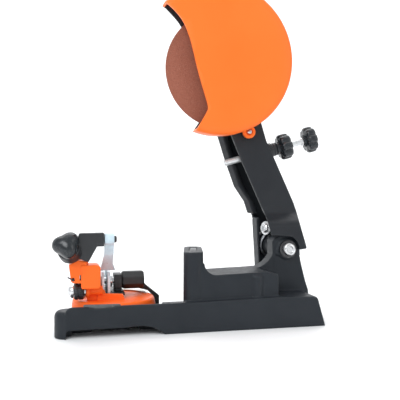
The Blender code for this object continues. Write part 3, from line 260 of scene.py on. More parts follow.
def mat_zinc(name, c0=(0.62, 0.63, 0.64), c1=(0.78, 0.79, 0.80), rough=0.24, turned_marks=True, brushed=None, metal=1.0):
    """Bright zinc: turned rings round the piece's own axis, or brushing along one axis."""
    m = Mat(name)
    big = m.noise(160, 3, 0.6)
    fine = m.noise(1400, 3, 0.6)
    if brushed:
        lines = m.noise(1.0, 4, 0.7, m.mapping(scale=brushed))
    elif turned_marks:
        sep = m.nt.nodes.new("ShaderNodeSeparateXYZ")
        m.link(m.tc, sep.inputs[0])
        rad = m.math("SQRT", m.math("ADD", m.math("MULTIPLY", sep.outputs[0], sep.outputs[0]),
                                    m.math("MULTIPLY", sep.outputs[1], sep.outputs[1])))
        comb = m.nt.nodes.new("ShaderNodeCombineXYZ")
        m.link(m.math("MULTIPLY", rad, 2600.0), comb.inputs[0])
        m.link(m.math("MULTIPLY", sep.outputs[2], 2600.0), comb.inputs[1])
        lines = m.noise(1.0, 3, 0.7, comb.outputs[0])
    else:
        lines = fine
    col = m.mix(m.ramp(big, [(0.3, 0.0), (0.7, 1.0)]), c0, c1)
    stain = m.ramp(m.noise(300, 3, 0.7), [(0.60, 0.0), (0.78, 0.5)])
    col = m.mix(stain, col, (0.34, 0.34, 0.33))
    r = m.math("ADD", m.remap(lines, 0.3, 0.7, rough - 0.06, rough + 0.10), m.remap(big, 0.3, 0.7, -0.03, 0.06))
    return m.done(col, r, m.bump(lines, 0.00001, 0.6), metallic=metal)


def mat_abrasive(name):
    """Resin-bonded abrasive: brown matrix with pale and dark grains."""
    m = Mat(name)
    big = m.noise(30, 3, 0.6)
    cell = m.nt.nodes.new("ShaderNodeTexVoronoi")
    m.link(m.tc, cell.inputs["Vector"])
    cell.inputs["Scale"].default_value = 1900.0
    col = m.mix(m.ramp(big, [(0.3, 0.0), (0.7, 1.0)]), (0.262, 0.088, 0.056), (0.300, 0.104, 0.068))
    grain = m.nt.nodes.new("ShaderNodeSeparateColor")
    m.link(cell.outputs["Color"], grain.inputs[0])
    col = m.mix(m.ramp(grain.outputs[0], [(0.80, 0.0), (1.0, 0.28)]), col, (0.44, 0.22, 0.165))
    col = m.mix(m.ramp(grain.outputs[1], [(0.80, 0.0), (1.0, 0.40)]), col, (0.10, 0.036, 0.026))
    h = m.math("ADD", m.math("MULTIPLY", cell.outputs["Distance"], 0.8), m.noise(900, 2))
    r = m.remap(grain.outputs[2], 0.0, 1.0, 0.62, 0.9)
    return m.done(col, r, m.bump(h, 0.00005, 0.8), Specular_IOR_Level=0.15)


def mat_stack(name, c0, c1, pitch, metallic, rough, axis=1):
    """Thin sheets or wires laid side by side along one axis."""
    m = Mat(name)
    sep = m.nt.nodes.new("ShaderNodeSeparateXYZ")
    m.link(m.tc, sep.inputs[0])
    w = m.math("SINE", m.math("MULTIPLY", sep.outputs[axis], 2 * math.pi / pitch))
    col = m.mix(m.remap(w, -1, 1, 0, 1), c0, c1)
    col = m.mix(m.ramp(m.noise(200, 3), [(0.4, 0.0), (0.7, 0.35)]), col, c0)
    return m.done(col, m.remap(m.noise(500, 2), 0.3, 0.7, rough - 0.05, rough + 0.08), m.bump(w, pitch * 0.12, 0.8),
                  metallic=metallic)


# the third colour of each cast paint (base, arm, guard) is its rubbed-paint and painted edge highlight colour
CAST = mat_cast("cast_paint", (0.0165, 0.0200, 0.0250), (0.0220, 0.0262, 0.0318), (0.075, 0.08, 0.08))
CAST_ARM = mat_cast("cast_paint_arm", (0.0185, 0.0205, 0.0245), (0.0240, 0.0265, 0.0305), (0.075, 0.08, 0.08), 0.42, 0.00003)
ORANGE_SHELL = mat_orange("orange_plastic", (0.96, 0.168, 0.024), (0.99, 0.184, 0.029), 0.34, 0.000003)
ORANGE_METAL = mat_orange("orange_paint", (0.95, 0.135, 0.016), (0.99, 0.160, 0.024), 0.38, 0.000012)
BLACK = mat_plastic("black_plastic", (0.012, 0.0135, 0.016), (0.018, 0.020, 0.023), 0.36)
BLACK_KNOB = mat_plastic("black_knob_plastic", (0.0105, 0.0135, 0.0165), (0.017, 0.021, 0.025), 0.21, 0.00002, 1300)
BLACK_BLOCK = mat_plastic("black_block", (0.013, 0.014, 0.015), (0.020, 0.021, 0.022), 0.46, 0.00003, 2000)
MOTOR_BLACK = mat_plastic("motor_plastic", (0.020, 0.021, 0.023), (0.028, 0.029, 0.032), 0.48, 0.00009, 1000)
RUBBER = mat_plastic("grip_rubber", (0.014, 0.014, 0.015), (0.022, 0.022, 0.023), 0.66, 0.00007, 1900)
RED = mat_plastic("red_rocker", (0.50, 0.020, 0.012), (0.58, 0.028, 0.016), 0.28, 0.00001, 2500)
GUARD = mat_cast("guard_paint", (0.022, 0.023, 0.025), (0.032, 0.033, 0.036), (0.14, 0.14, 0.14), 0.40, 0.00003)
ZINC = mat_zinc("bright_zinc")
ZINC_ROD = mat_zinc("ground_rod", (0.66, 0.68, 0.69), (0.78, 0.80, 0.80), 0.30, metal=0.55)
ZINC_PLATE = mat_zinc("zinc_plate", (0.62, 0.68, 0.72), (0.74, 0.80, 0.84), 0.42, False, (900, 900, 60), 0.45)
PLATE = mat_zinc("rolled_plate", (0.40, 0.42, 0.43), (0.52, 0.54, 0.55), 0.42, False, (70, 900, 900), 0.6)
POINTER = mat_zinc("pointer_plate", (0.085, 0.090, 0.095), (0.135, 0.140, 0.145), 0.44, False, (70, 900, 900), 0.4)
PAWL = mat_zinc("pawl_plate", (0.50, 0.62, 0.69), (0.61, 0.74, 0.81), 0.42, False, (900, 900, 60), 0.08)
SPRING = mat_zinc("spring_wire", (0.26, 0.27, 0.29), (0.40, 0.41, 0.43), 0.28, False)
DARK_STEEL = mat_zinc("blackened_steel", (0.05, 0.05, 0.052), (0.10, 0.10, 0.105), 0.36, False)
BRONZE = mat_zinc("sintered_bronze", (0.50, 0.32, 0.12), (0.66, 0.45, 0.18), 0.38)
ABRASIVE = mat_abrasive("abrasive")
COPPER = mat_stack("copper_winding", (0.30, 0.12, 0.05), (0.72, 0.36, 0.18), 0.0008, 0.9, 0.35, 1)
LAMINATED = mat_stack("laminated_core", (0.16, 0.16, 0.165), (0.42, 0.42, 0.43), 0.0006, 0.9, 0.42, 1)
CARBON = mat_plastic("carbon", (0.030, 0.029, 0.028), (0.05, 0.05, 0.048), 0.6, 0.00005, 2600)
SCALE = mat_zinc("scale_plate", (0.66, 0.65, 0.60), (0.76, 0.75, 0.70), 0.34, False, (60, 900, 900))

# ---------------------------------------------------------------- mesh builders (mm)


def arc(cx, cy, r, a0, a1, n):
    return [(cx + r * math.cos(math.radians(a0 + (a1 - a0) * i / n)),
             cy + r * math.sin(math.radians(a0 + (a1 - a0) * i / n))) for i in range(n + 1)]


def rounded(pts, radii, seg=6):
    """Closed polygon with its corners replaced by arcs."""
    out = []
    n = len(pts)
    for i in range(n):
        p = Vector(pts[i])
        r = radii[i] if isinstance(radii, (list, tuple)) else radii
        a = Vector(pts[i - 1]) - p
        b = Vector(pts[(i + 1) % n]) - p
        if r <= 0:
            out.append((p.x, p.y))
            continue
        ang = a.angle(b)
        if ang > math.pi - 0.05:
            out.append((p.x, p.y))
            continue
        t = min(r / math.tan(ang / 2), a.length * 0.48, b.length * 0.48)
        rr = t * math.tan(ang / 2)
        c = p + (a.normalized() + b.normalized()).normalized() * (rr / math.sin(ang / 2))
        s = p + a.normalized() * t - c
        e = p + b.normalized() * t - c
        a0 = math.atan2(s.y, s.x)
        d = math.atan2(e.y, e.x) - a0
        while d > math.pi:
            d -= 2 * math.pi
        while d < -math.pi:
            d += 2 * math.pi
        for k in range(seg + 1):
            t2 = a0 + d * k / seg
            out.append((c.x + rr * math.cos(t2), c.y + rr * math.sin(t2)))
    return out


def inset(pts, d):
    """Move every side of a closed polygon inwards by d."""
    n = len(pts)
    area = sum(pts[i - 1][0] * pts[i][1] - pts[i][0] * pts[i - 1][1] for i in range(n))
    s = 1.0 if area > 0 else -1.0
    out = []
    for i in range(n):
        p, a, b = Vector(pts[i]), Vector(pts[i - 1]), Vector(pts[(i + 1) % n])
        e0, e1 = (p - a), (b - p)
        e0 = e0.normalized() if e0.length > 1e-6 else e1.normalized()
        e1 = e1.normalized() if e1.length > 1e-6 else e0
        n0, n1 = Vector((-e0.y, e0.x)) * s, Vector((-e1.y, e1.x)) * s
        q = p + (n0 + n1) * (d / max(0.35, 1 + n0.dot(n1)))
        out.append((q.x, q.y))
    return out


def loft(rings, cap=True):
    bm = bmesh.new()
    rows = [[bm.verts.new(p) for p in ring] for ring in rings]
    n = len(rows[0])
    for a, b in zip(rows[:-1], rows[1:]):
        for i in range(n):
            j = (i + 1) % n
            bm.faces.new((a[i], a[j], b[j], b[i]))
    if cap:
        bm.faces.new(list(reversed(rows[0])))
        bm.faces.new(rows[-1])
    bmesh.ops.recalc_face_normals(bm, faces=bm.faces)
    return bm


def prism(axis, pts, a0, a1, r0=0.0, r1=0.0, n=3, top=None):
    """Prism along an axis; r0 and r1 round the edges of its two end faces."""
    put = {"x": lambda p, a: (a, p[0], p[1]), "y": lambda p, a: (p[0], a, p[1]), "z": lambda p, a: (p[0], p[1], a)}[axis]
    rings = []
    for k in range(n + 1 if r0 > 0 else 1):
        t = math.radians(90.0 * k / n) if r0 > 0 else math.pi / 2
        rings.append([put(p, a0 + r0 * (1 - math.cos(t))) for p in inset(pts, r0 * (1 - math.sin(t)))])
    end = top or pts
    for k in range(n, -1, -1) if r1 > 0 else [n]:
        t = math.radians(90.0 * k / n) if r1 > 0 else math.pi / 2
        rings.append([put(p, a1 - r1 * (1 - math.cos(t))) for p in inset(end, r1 * (1 - math.sin(t)))])
    return loft(rings)


def prism_y(pts, y0, y1, r0=0.0, r1=0.0):
    return prism("y", pts, y0, y1, r0, r1)


def prism_z(pts, z0, z1, r0=0.0, r1=0.0, top=None):
    return prism("z", pts, z0, z1, r0, r1, 3, top)


def prism_x(pts, x0, x1, r0=0.0, r1=0.0):
    return prism("x", pts, x0, x1, r0, r1)


def box(x0, x1, y0, y1, z0, z1, r=0.0, e=0.0):
    """Block; r rounds its upright edges, e the edges of its top and bottom."""
    p = [(x0, y0), (x1, y0), (x1, y1), (x0, y1)]
    return prism_z(rounded(p, r, 4) if r else p, z0, z1, e, e)


def frame_of(direction):
    d = Vector(direction).normalized()
    side = Vector((0, 0, 1)) if abs(d.z) < 0.9 else Vector((1, 0, 0))
    u = d.cross(side).normalized()
    v = d.cross(u).normalized()
    return d, u, v


def soft(profile, r, n=3):
    """Round the inner corners of an open turning profile by r."""
    out = [profile[0]]
    for i in range(1, len(profile) - 1):
        p, a, b = Vector(profile[i]), Vector(profile[i - 1]), Vector(profile[i + 1])
        da, db = a - p, b - p
        if da.length < 1e-6 or db.length < 1e-6 or da.angle(db) > math.radians(172):
            out.append(tuple(p))
            continue
        ang = da.angle(db)
        t = min(r / math.tan(ang / 2), da.length * 0.45, db.length * 0.45)
        s, e = p + da.normalized() * t, p + db.normalized() * t
        for k in range(n + 1):
            w = k / n
            q = s * (1 - w) ** 2 + p * 2 * w * (1 - w) + e * w ** 2
            out.append((q.x, q.y))
    out.append(profile[-1])
    return out


def turned(profile, centre, direction, seg=32, lobes=None):
    """Solid of revolution from (radius, height) pairs; lobes(angle, radius) may reshape the radius."""
    seg = seg if seg <= 8 else int(round(seg * (2.0 if lobes else FINE)))
    d, u, v = frame_of(direction)
    c = Vector(centre)
    bm = bmesh.new()
    rows = []
    for r, h in profile:
        if r <= 1e-6:
            rows.append([bm.verts.new(c + d * h)])
        else:
            row = []
            for i in range(seg):
                a = 2 * math.pi * i / seg
                rr = lobes(a, r) if lobes else r
                row.append(bm.verts.new(c + d * h + (u * math.cos(a) + v * math.sin(a)) * rr))
            rows.append(row)
    for a, b in zip(rows[:-1], rows[1:]):
        for i in range(seg):
            j = (i + 1) % seg
            if len(a) == 1 and len(b) > 1:
                bm.faces.new((a[0], b[i], b[j]))
            elif len(b) == 1 and len(a) > 1:
                bm.faces.new((a[i], a[j], b[0]))
            elif len(a) > 1 and len(b) > 1:
                bm.faces.new((a[i], a[j], b[j], b[i]))
    if len(rows[0]) > 1:
        bm.faces.new(list(reversed(rows[0])))
    if len(rows[-1]) > 1:
        bm.faces.new(rows[-1])
    bmesh.ops.recalc_face_normals(bm, faces=bm.faces)
    return bm


def ring_turned(profile, centre, direction, seg=32):
    """Revolve a closed profile that never touches the axis."""
    seg = seg if seg <= 8 else int(round(seg * FINE))
    d, u, v = frame_of(direction)
    c = Vector(centre)
    bm = bmesh.new()
    rows = []
    for i in range(seg):
        a = 2 * math.pi * i / seg
        rows.append([bm.verts.new(c + d * h + (u * math.cos(a) + v * math.sin(a)) * r) for r, h in profile])
    m = len(profile)
    for i in range(seg):
        a, b = rows[i], rows[(i + 1) % seg]
        for k in range(m):
            j = (k + 1) % m
            bm.faces.new((a[k], a[j], b[j], b[k]))
    bmesh.ops.recalc_face_normals(bm, faces=bm.faces)
    return bm


def cyl(r, h0, h1, centre, direction, seg=32):
    return turned([(r, h0), (r, h1)], centre, direction, seg)


def tube(r0, r1, h0, h1, centre, direction, seg=32, e=0.0):
    """Ring with its four edges broken by e."""
    if e <= 0:
        return ring_turned([(r0, h0), (r1, h0), (r1, h1), (r0, h1)], centre, direction, seg)
    return ring_turned([(r0 + e, h0), (r1 - e, h0), (r1 - e * 0.3, h0 + e * 0.3), (r1, h0 + e), (r1, h1 - e),
                        (r1 - e * 0.3, h1 - e * 0.3), (r1 - e, h1), (r0 + e, h1), (r0, h1 - e), (r0, h0 + e)],
                       centre, direction, seg)


def sweep(path, r, seg=10):
    """Round wire of radius r along a 3-D path."""
    rings = []
    n = len(path)
    up = Vector((0.13, 0.21, 0.97))
    for i, p in enumerate(path):
        p = Vector(p)
        t = (Vector(path[min(i + 1, n - 1)]) - Vector(path[max(i - 1, 0)])).normalized()
        a = (up - t * up.dot(t)).normalized()
        up = a
        b = t.cross(a)
        rr = r(i / (n - 1)) if callable(r) else r
        rings.append([p + (a * math.cos(2 * math.pi * k / seg) + b * math.sin(2 * math.pi * k / seg)) * rr
                      for k in range(seg)])
    return loft(rings)


def as_object(bm, name="tmp"):
    me = bpy.data.meshes.new(name)
    bm.to_mesh(me)
    bm.free()
    ob = bpy.data.objects.new(name, me)
    COL.objects.link(ob)
    return ob


def drop(*obs):
    for ob in obs:
        old = ob.data
        bpy.data.objects.remove(ob, do_unlink=True)
        bpy.data.meshes.remove(old)


def evaluated(ob):
    dg = bpy.context.evaluated_depsgraph_get()
    dg.update()
    me = bpy.data.meshes.new_from_object(ob.evaluated_get(dg))
    bm = bmesh.new()
    bm.from_mesh(me)
    bpy.data.meshes.remove(me)
    return bm


def boolean(bm, others, op):
    """Exact Boolean with each of the others in turn; a result of impossible volume is tried again a hair aside."""
    for other in others:
        vol = abs(bm.calc_volume())
        for tries in range(5):
            a = as_object(bm.copy(), "work")
            b = as_object(other.copy(), "tool")
            b.location = Vector((0.0031, -0.0023, 0.0017)) * tries
            m = a.modifiers.new("bool", 'BOOLEAN')
            m.operation = op
            m.solver = 'EXACT'
            m.object = b
            res = evaluated(a)
            drop(a, b)
            bmesh.ops.remove_doubles(res, verts=res.verts, dist=0.0005)
            bmesh.ops.dissolve_limit(res, angle_limit=math.radians(0.4), verts=res.verts, edges=res.edges)
            new = abs(res.calc_volume()) if len(res.faces) > 3 else 0.0
            whole = all(len(e.link_faces) == 2 for e in res.edges)
            good = {"UNION": new >= vol * 0.999, "DIFFERENCE": 0 < new <= vol * 1.0005, "INTERSECT": 0 < new <= vol * 1.0005}[op]
            if good and whole:
                break
            if tries < 4:
                res.free()
        bm.free()
        other.free()
        bm = res
    return bm


def add(bm, *others):
    return boolean(bm, others, 'UNION')


def cut(bm, *others):
    return boolean(bm, others, 'DIFFERENCE')


def common(bm, *others):
    return boolean(bm, others, 'INTERSECT')


def join(bm, *others):
    """Separate closed bodies kept in one mesh, such as the threads of one screw."""
    for other in others:
        me = bpy.data.meshes.new("part")
        other.to_mesh(me)
        other.free()
        bm.from_mesh(me)
        bpy.data.meshes.remove(me)
    return bm


def cast_skin(bm, voxel, rounds, faces):
    """The flowing skin of a casting: every edge and inner corner gets a small natural radius."""
    ob = as_object(bm, "cast")
    m = ob.modifiers.new("remesh", 'REMESH')
    m.mode = 'VOXEL'
    m.voxel_size = voxel
    m.adaptivity = 0.0
    s = ob.modifiers.new("smooth", 'SMOOTH')
    s.factor = 0.5
    s.iterations = rounds
    d = ob.modifiers.new("thin", 'DECIMATE')
    d.ratio = 1.0
    first = evaluated(ob)
    count = len(first.faces) * 2
    first.free()
    d.ratio = min(1.0, faces / max(1, count))
    out = evaluated(ob)
    drop(ob)
    return out


def make(name, bm, mat, node=None, body=None, local=None, smooth=35.0, bevel=0.0, seg=2, also=(), weighted=True):
    """Place a finished piece: mm -> m, its own axis as local Z if given, riding on its body."""
    nodes = [node or name] if (node or name) in frame["nodes"] else []
    nodes += list(also)
    bmesh.ops.transform(bm, matrix=Matrix.Scale(MM, 4), verts=bm.verts)
    place = Matrix.Identity(4)
    if local:
        c, dr = Vector(local[0]) * MM, Vector(local[1]).normalized()
        place = Matrix.Translation(c) @ dr.to_track_quat('Z', 'Y').to_matrix().to_4x4()
        bmesh.ops.transform(bm, matrix=place.inverted(), verts=bm.verts)
    me = bpy.data.meshes.new(name + "_look")
    bm.to_mesh(me)
    bm.free()
    me.materials.append(mat)
    me.shade_smooth()
    me.set_sharp_from_angle(angle=math.radians(smooth))
    ob = bpy.data.objects.new(name + "_look", me)
    COL.objects.link(ob)
    ob.matrix_world = place
    if bevel > 0:
        b = ob.modifiers.new("edges", 'BEVEL')
        b.width = bevel * MM
        b.segments = seg
        b.limit_method = 'ANGLE'
        b.angle_limit = math.radians(max(28.0, smooth))
        b.use_clamp_overlap = True
        b.harden_normals = True
        b.miter_outer = 'MITER_ARC'
    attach(ob, body or NODE_BODY[nodes[0]])
    if nodes:
        in_cad = [n for n in nodes if n in frame["nodes"]]
        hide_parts(*in_cad)
    return ob


def finish_cad(node, mat):
    """A CAD node whose shape is right keeps it and takes a finished material."""
    ob = frame["nodes"][node]
    ob.data.materials.clear()
    ob.data.materials.append(mat)
    return ob

# ================================================================ base
tray_plan = ([(-12.0, BASE_Y0 + 0.4)]
             + [(p[0], p[1]) for p in reversed(arc(-106.5, -28.6, 12.0, 180, 270, 10))]
             + [(p[0], p[1]) for p in reversed(arc(-72.5, -6.0, 46.0, 92, 180, 24))]
             + [(-12.0, 40.0)])
base = prism_z(tray_plan, 0.0, TRAY_TOP)
block = prism_y([(-15.0, 0.0), (BASE_X1, 0.0), (111.4, 23.6), (110.6, 25.4), (108.6, 26.6), (75.0, 27.4), (0.0, BASE_TOP),
                 (-15.0, BASE_TOP)], BASE_Y0, BASE_Y1)
low_side = cut(block, prism_z([(-20.0, BASE_Y0 + 3.2), (-10.4, BASE_Y0 + 3.2), (9.0, BASE_Y1 + 5.0), (-20.0, BASE_Y1 + 5.0)],
                              TRAY_TOP, 60))
wall = prism_y([(-110.0, 0.0), (-13.0, 0.0), (-13.0, BASE_TOP), (-104.0, BASE_TOP)]
               + [(p[0], p[1]) for p in reversed(arc(-104.4, 20.6, 5.4, 176, 94, 6))] + [(-110.0, 18.0)],
               BASE_Y0, BASE_Y0 + 3.2)
corner = turned([(11.4, 0.0), (11.4, 17.5), (11.0, 19.4), (9.8, 21.2), (8.6, 22.0)], (-107.1, -29.2, 0), Z_AX, 40)
boss = cyl(32.0, 0.0, TABLE_Z0 - GAP, (TABLE_X, 0, 0), Z_AX, 64)
base = add(base, low_side, wall, corner, boss)
post_low = rounded([(-11.0, -35.4), (7.4, -36.8), (18.6, 20.0), (1.6, 25.4)], 7.6, 10)
post_top = rounded([(-10.6, -34.4), (6.8, -35.8), (17.8, 19.4), (1.9, 24.4)], 7.8, 10)
post = prism_z(post_low, 12.0, POST_TOP, 0, 0, post_top)
ledge_xz = ([(2.0, 14.0), (2.0, 60.0)] + [(p[0], p[1]) for p in arc(19.6, 59.0, 11.3, 186, 270, 14)]
            + [(60.0, 48.9), (66.0, 49.4), (76.0, 46.4), (76.0, 14.0)])
ledge = loft([[(x, -34.0 - (1.6 if z < 30 else 0.0), z) for x, z in ledge_xz],
              [(x, 11.0, z) for x, z in ledge_xz]])
swell = turned([(6.2, 12.0), (5.6, 45.2), (4.9, 46.4), (3.4, 47.0), (0.0, 47.2)], (56.5, -31.6, 0), Z_AX, 24)
base = add(base, post, ledge, swell)


def ear(y0, y1, left):
    top = []
    for a in range(152, 8, -6):
        r = 12.8 + 3.4 * max(0.0, (a - 92.0) / 60.0)
        top.append((HINGE_X + r * math.cos(math.radians(a)), HINGE_Z + r * math.sin(math.radians(a))))
    pts = ([(left + 6.4, 14.0)] + [(left + 5.8, 30.0), (left + 3.2, 48.0), (left + 0.6, 62.0)] + top
           + [(106.6, 62.0), (108.0, 54.0), (112.6, 36.0), (115.6, 27.2), (116.6, 14.0)])
    return prism_y(pts, y0, y1)


near_ear = ear(-8.0, 8.0, 79.4)
far_ear = ear(36.0, 44.0, 78.6)
horn = prism_y([(79.4, 14.0), (78.8, 48.0), (76.6, 84.0), (76.2, 92.4), (77.2, 94.2), (78.8, 94.6), (80.2, 92.6), (80.0, 84.0), (79.6, 66.0),
                (80.4, 48.0), (88.0, 46.0), (88.0, 14.0)], 29.0, 44.0)
gusset = prism_y([(58.0, 14.0), (58.0, 48.0)] + arc(58.5, 72.4, 24.0, 275, 338, 16) + [(88.0, 63.4), (88.0, 14.0)],
                 -7.6, 7.6)
pad = prism_y(rounded([(82.6, 60.6), (106.6, 60.6), (106.4, 66.5), (83.6, 66.5)], [2.0, 0.0, 0.0, 0.0], 3), -9.4, -7.0)
pad2 = cyl(9.6, -9.4, -7.0, HC, Y_AX, 44)
cross_web = box(76.0, 112.0, 6.0, 40.0, 14.0, 30.0)
base = add(base, gusset, near_ear, far_ear, horn, cross_web, pad, pad2)
base = cut(base,
           cyl(4.35, -60, 80, HC, Y_AX, 32),
           cyl(5.3, -5, 40, TC, Z_AX, 32),
           cyl(27.0, -5, 12.6, TC, Z_AX, 56),
           box(12.0, 108.0, -36.5, 47.5, -5, 20.0),
           box(-104.0, -30.0, -37.6, -18.0, -5, 6.4),
           prism_y([(-109.0, -3.0), (-109.0, 5.6), (-107.4, 7.0), (-62.0, 7.4), (-46.0, 8.2), (-38.0, 6.6),
                    (-30.0, 2.2), (-25.0, -3.0)], -60, -30.0),
           prism_z(rounded([(-1.6, -16.0), (4.8, -17.6), (11.4, 12.0), (5.2, 13.8)], 2.9, 8), POST_TOP - 2.0, POST_TOP + 5),
           cyl(40.8, -50, -30, (-79.9, 0, 65.0), Y_AX, 120),
           box(-95.6, -64.0, -39.3, -37.0, TRAY_TOP, 40.0))
base = cast_skin(base, 0.75, 3, 60000)
make("base_casting", base, CAST, smooth=50)

make("stop_anvil", prism_z(rounded([(-1.2, -15.6), (4.5, -17.1), (11.0, 11.6), (5.5, 13.3)], 2.6, 8),
                           POST_TOP - 1.7, POST_TOP - 0.4, 0, 0.3), BLACK)

ptr = prism_y(rounded([(-95.2, TRAY_TOP + GAP), (-64.4, TRAY_TOP + GAP), (-64.4, 27.2), (-95.2, 27.6)], [0.5, 0.5, 1.5, 1.5], 6),
              -39.0, -37.6, 0.25, 0.2)
make("angle_pointer", ptr, POINTER)

# ---------------------------------------------------------------- hinge hardware
bolt = turned(soft([(2.6, -15.5), (3.3, -16.2), (3.9, -16.4), (5.0, -15.9), (5.9, -14.9), (5.9, -11.8), (4.0, -11.8),
                    (4.0, 55.5), (3.2, 56.5)], 0.3), HC, Y_AX, 36)
slot_a = box(HINGE_X - 3.3, HINGE_X + 3.3, -20, -15.2, HINGE_Z - 0.45, HINGE_Z + 0.45)
bmesh.ops.rotate(slot_a, cent=HC, matrix=Matrix.Rotation(math.radians(48), 3, 'Y'), verts=slot_a.verts)
make("hinge_bolt", cut(bolt, slot_a), ZINC, local=(HC, Y_AX))
make("hinge_washer", tube(4.4, 8.2, -11.5, -9.7, HC, Y_AX, 40, 0.25), DARK_STEEL, local=(HC, Y_AX))
nut = cut(common(cyl(7.5, 45.6, 51.6, HC, Y_AX, 6), turned([(6.2, 45.5), (7.6, 46.3), (7.6, 50.9), (6.2, 51.7)], HC, Y_AX, 40)),
          cyl(4.3, 40, 60, HC, Y_AX, 24))
make("hinge_nut", nut, ZINC, local=(HC, Y_AX))
make("hinge_washer_rear", tube(4.4, 8.6, 44.3, 45.3, HC, Y_AX, 40, 0.2), ZINC, local=(HC, Y_AX))
coil = []
for i in range(3 * 36 + 1):
    t = i / 36.0
    a = 2 * math.pi * t + math.radians(200)
    coil.append((HINGE_X + 12.9 * math.cos(a), 27.6 + 2.1 * t, HINGE_Z + 12.9 * math.sin(a)))
make("return_spring", sweep(coil, 0.9, 12), SPRING)

# ================================================================ tilting head


def shrunk(pts, y0, y1):
    """XZ points seen at depth y0 moved along the lines to the fork's apex, to depth y1."""
    k = (y1 - FORK_APEX[1]) / (y0 - FORK_APEX[1])
    return [(FORK_APEX[0] + (x - FORK_APEX[0]) * k, FORK_APEX[2] + (z - FORK_APEX[2]) * k) for x, z in pts]


def tapered(pts, y_near, y_far):
    """Prism along Y whose outline is pts from the arm's near face on, and shrinks nearer than that."""
    return loft([[(x, y_near, z) for x, z in shrunk(pts, ARM_Y0, y_near)], [(x, ARM_Y0, z) for x, z in pts],
                 [(x, y_far, z) for x, z in pts]])


left = shrunk([(76.4, 79.7), (72.7, 92.1)], ARM_LOW_Y0, ARM_Y0) + [(74.1, 105.5), (54.9, 147.3), (43.6, 174.1), (28.0, 201.0)]
right = (shrunk([(111.1, 66.9), (111.0, 69.2)], ARM_LOW_Y0, ARM_Y0)
         + [(106.6, 109.1), (87.4, 150.4), (78.7, 168.5), (73.8, 184.7), (66.6, 215.0), (62.6, 240.0)])
skirt_low = shrunk([(85.7, 79.1), (92.5, 78.6), (96.8, 77.8), (100.0, 75.5), (102.4, 72.2), (103.7, 69.0), (104.0, 65.8)],
                   ARM_LOW_Y0, ARM_Y0)
outline = skirt_low + right + [(52.0, 262.0), (16.0, 262.0), (8.0, 240.0), (14.0, 215.0)] + list(reversed(left))


def bent(y0a, y0b, y1a, y1b, z0, z1, z2, r, x0, x1):
    """Both plates' section seen from the side, with the bend rounded by r."""
    pts = rounded([(y0a, z0), (y0a, z1), (y0b, z2), (y0b, 300), (y1b, 300), (y1b, z2), (y1a, z1), (y1a, z0)],
                  [0, r, r, 0, 0, r, r, 0], 8)
    return prism_x(pts, x0, x1)


shell = common(tapered(outline, -30, 70),
               bent(ARM_LOW_Y0, ARM_Y0, ARM_LOW_Y1, ARM_Y1, 50, 91.0, 101.2, 10.0, -30, 150))
inner_right = [(114.9, 45.0), (115.1, 67.0), (102.3, 109.1), (83.5, 149.0), (74.7, 167.0), (69.9, 183.6), (62.7, 214.0),
               (58.7, 238.0), (52.0, 250.0)]
inner = common(tapered([(-40.0, 45.0)] + inner_right + [(30.0, 256.0), (-40.0, 256.0)], -30, 70),
               bent(ARM_LOW_Y0 + ARM_T, ARM_Y0 + ARM_T, ARM_LOW_Y1 - ARM_T, ARM_Y1 - ARM_T, 40, 88.6, 99.0, 8.0, -45, 160))
arm = cut(shell, inner)
lip_path = [(73.9, 98.0), (69.6, 110.4), (59.6, 124.9), (55.0, 137.3), (48.6, 155.0), (41.8, 176.6), (30.5, 199.0)]
arm = add(arm, loft([[(x - 1.0, 49.8, z), (x + 2.2, 40.0, z), (x + 7.0, 40.0, z), (x + 7.0, 49.8, z)]
                     for x, z in lip_path]))
arm = add(arm, cyl(33.0, ARM_Y0, ARM_Y0 + ARM_T, WC, Y_AX, 64), cyl(19.0, ARM_Y0, ARM_Y1, WC, Y_AX, 44),
          cyl(33.0, ARM_Y1 - ARM_T, ARM_Y1, WC, Y_AX, 64))
U = Vector((math.cos(math.radians(114.6)), 0, math.sin(math.radians(114.6))))
W = Vector((-U.z, 0, U.x))
W = -W if W.x > 0 else W


def rib(s0, y0, s1, y1, t=2.4, depth=15.0):
    org = Vector((107.2, 0, 101.0))
    a = org + U * s0 + Vector((0, y0, 0))
    b = org + U * s1 + Vector((0, y1, 0))
    n = (b - a).cross(W).normalized() * (t / 2)
    base_in, top_in = W * (-1.5), W * depth
    return loft([[a - n + base_in, b - n + base_in, b - n + top_in, a - n + top_in],
                 [a + n + base_in, b + n + base_in, b + n + top_in, a + n + top_in]])


arm = add(arm, rib(10.0, 8.4, 36.0, 48.2), rib(10.0, 48.2, 36.0, 8.4), rib(32.0, 8.4, 47.0, 48.2),
          rib(88.0, 8.4, 112.0, 48.2), rib(88.0, 48.2, 112.0, 8.4))
barrel = cyl(11.4, 8.6, 35.4, HC, Y_AX, 44)
spine = prism_y([(94.0, 56.2), (116.0, 62.6), (116.4, 68.0), (107.4, 100.6), (98.0, 96.0), (86.0, 75.0)], 14.0, 26.0)
arm = add(arm, barrel, spine)
lug_dir = Vector((-0.90, -0.42, 0.05)).normalized()
lug_org = Vector((81.9, 16.0, 84.7))
arm = add(arm, cyl(8.2, bush_h - 7, bush_h + 1.7, rod_org, rod_dir, 36), cyl(7.4, -11.8, -0.3, lug_org, lug_dir, 30))
arm = cut(arm,
          cyl(2.8, -9.5, 4, lug_org, lug_dir, 24),
          cyl(6.6, 0, 50, HC, Y_AX, 32),
          cyl(13.3, 5, 16.6, WC, Y_AX, 40),
          cyl(8.0, 10, 60, WC, Y_AX, 32),
          cyl(4.6, bush_h - 12, bush_h + 12, rod_org, rod_dir, 24),
          cyl(8.6, bush_h + 1.7, bush_h + 12, rod_org, rod_dir, 36),
          cyl(1.9, 3, 14, (LUG_X, 0, LUG_Z), Y_AX, 20),
          cyl(2.3, 3, 14, (34.0, 0, 259.6), Y_AX, 20))
arm = cast_skin(arm, 0.75, 3, 60000)
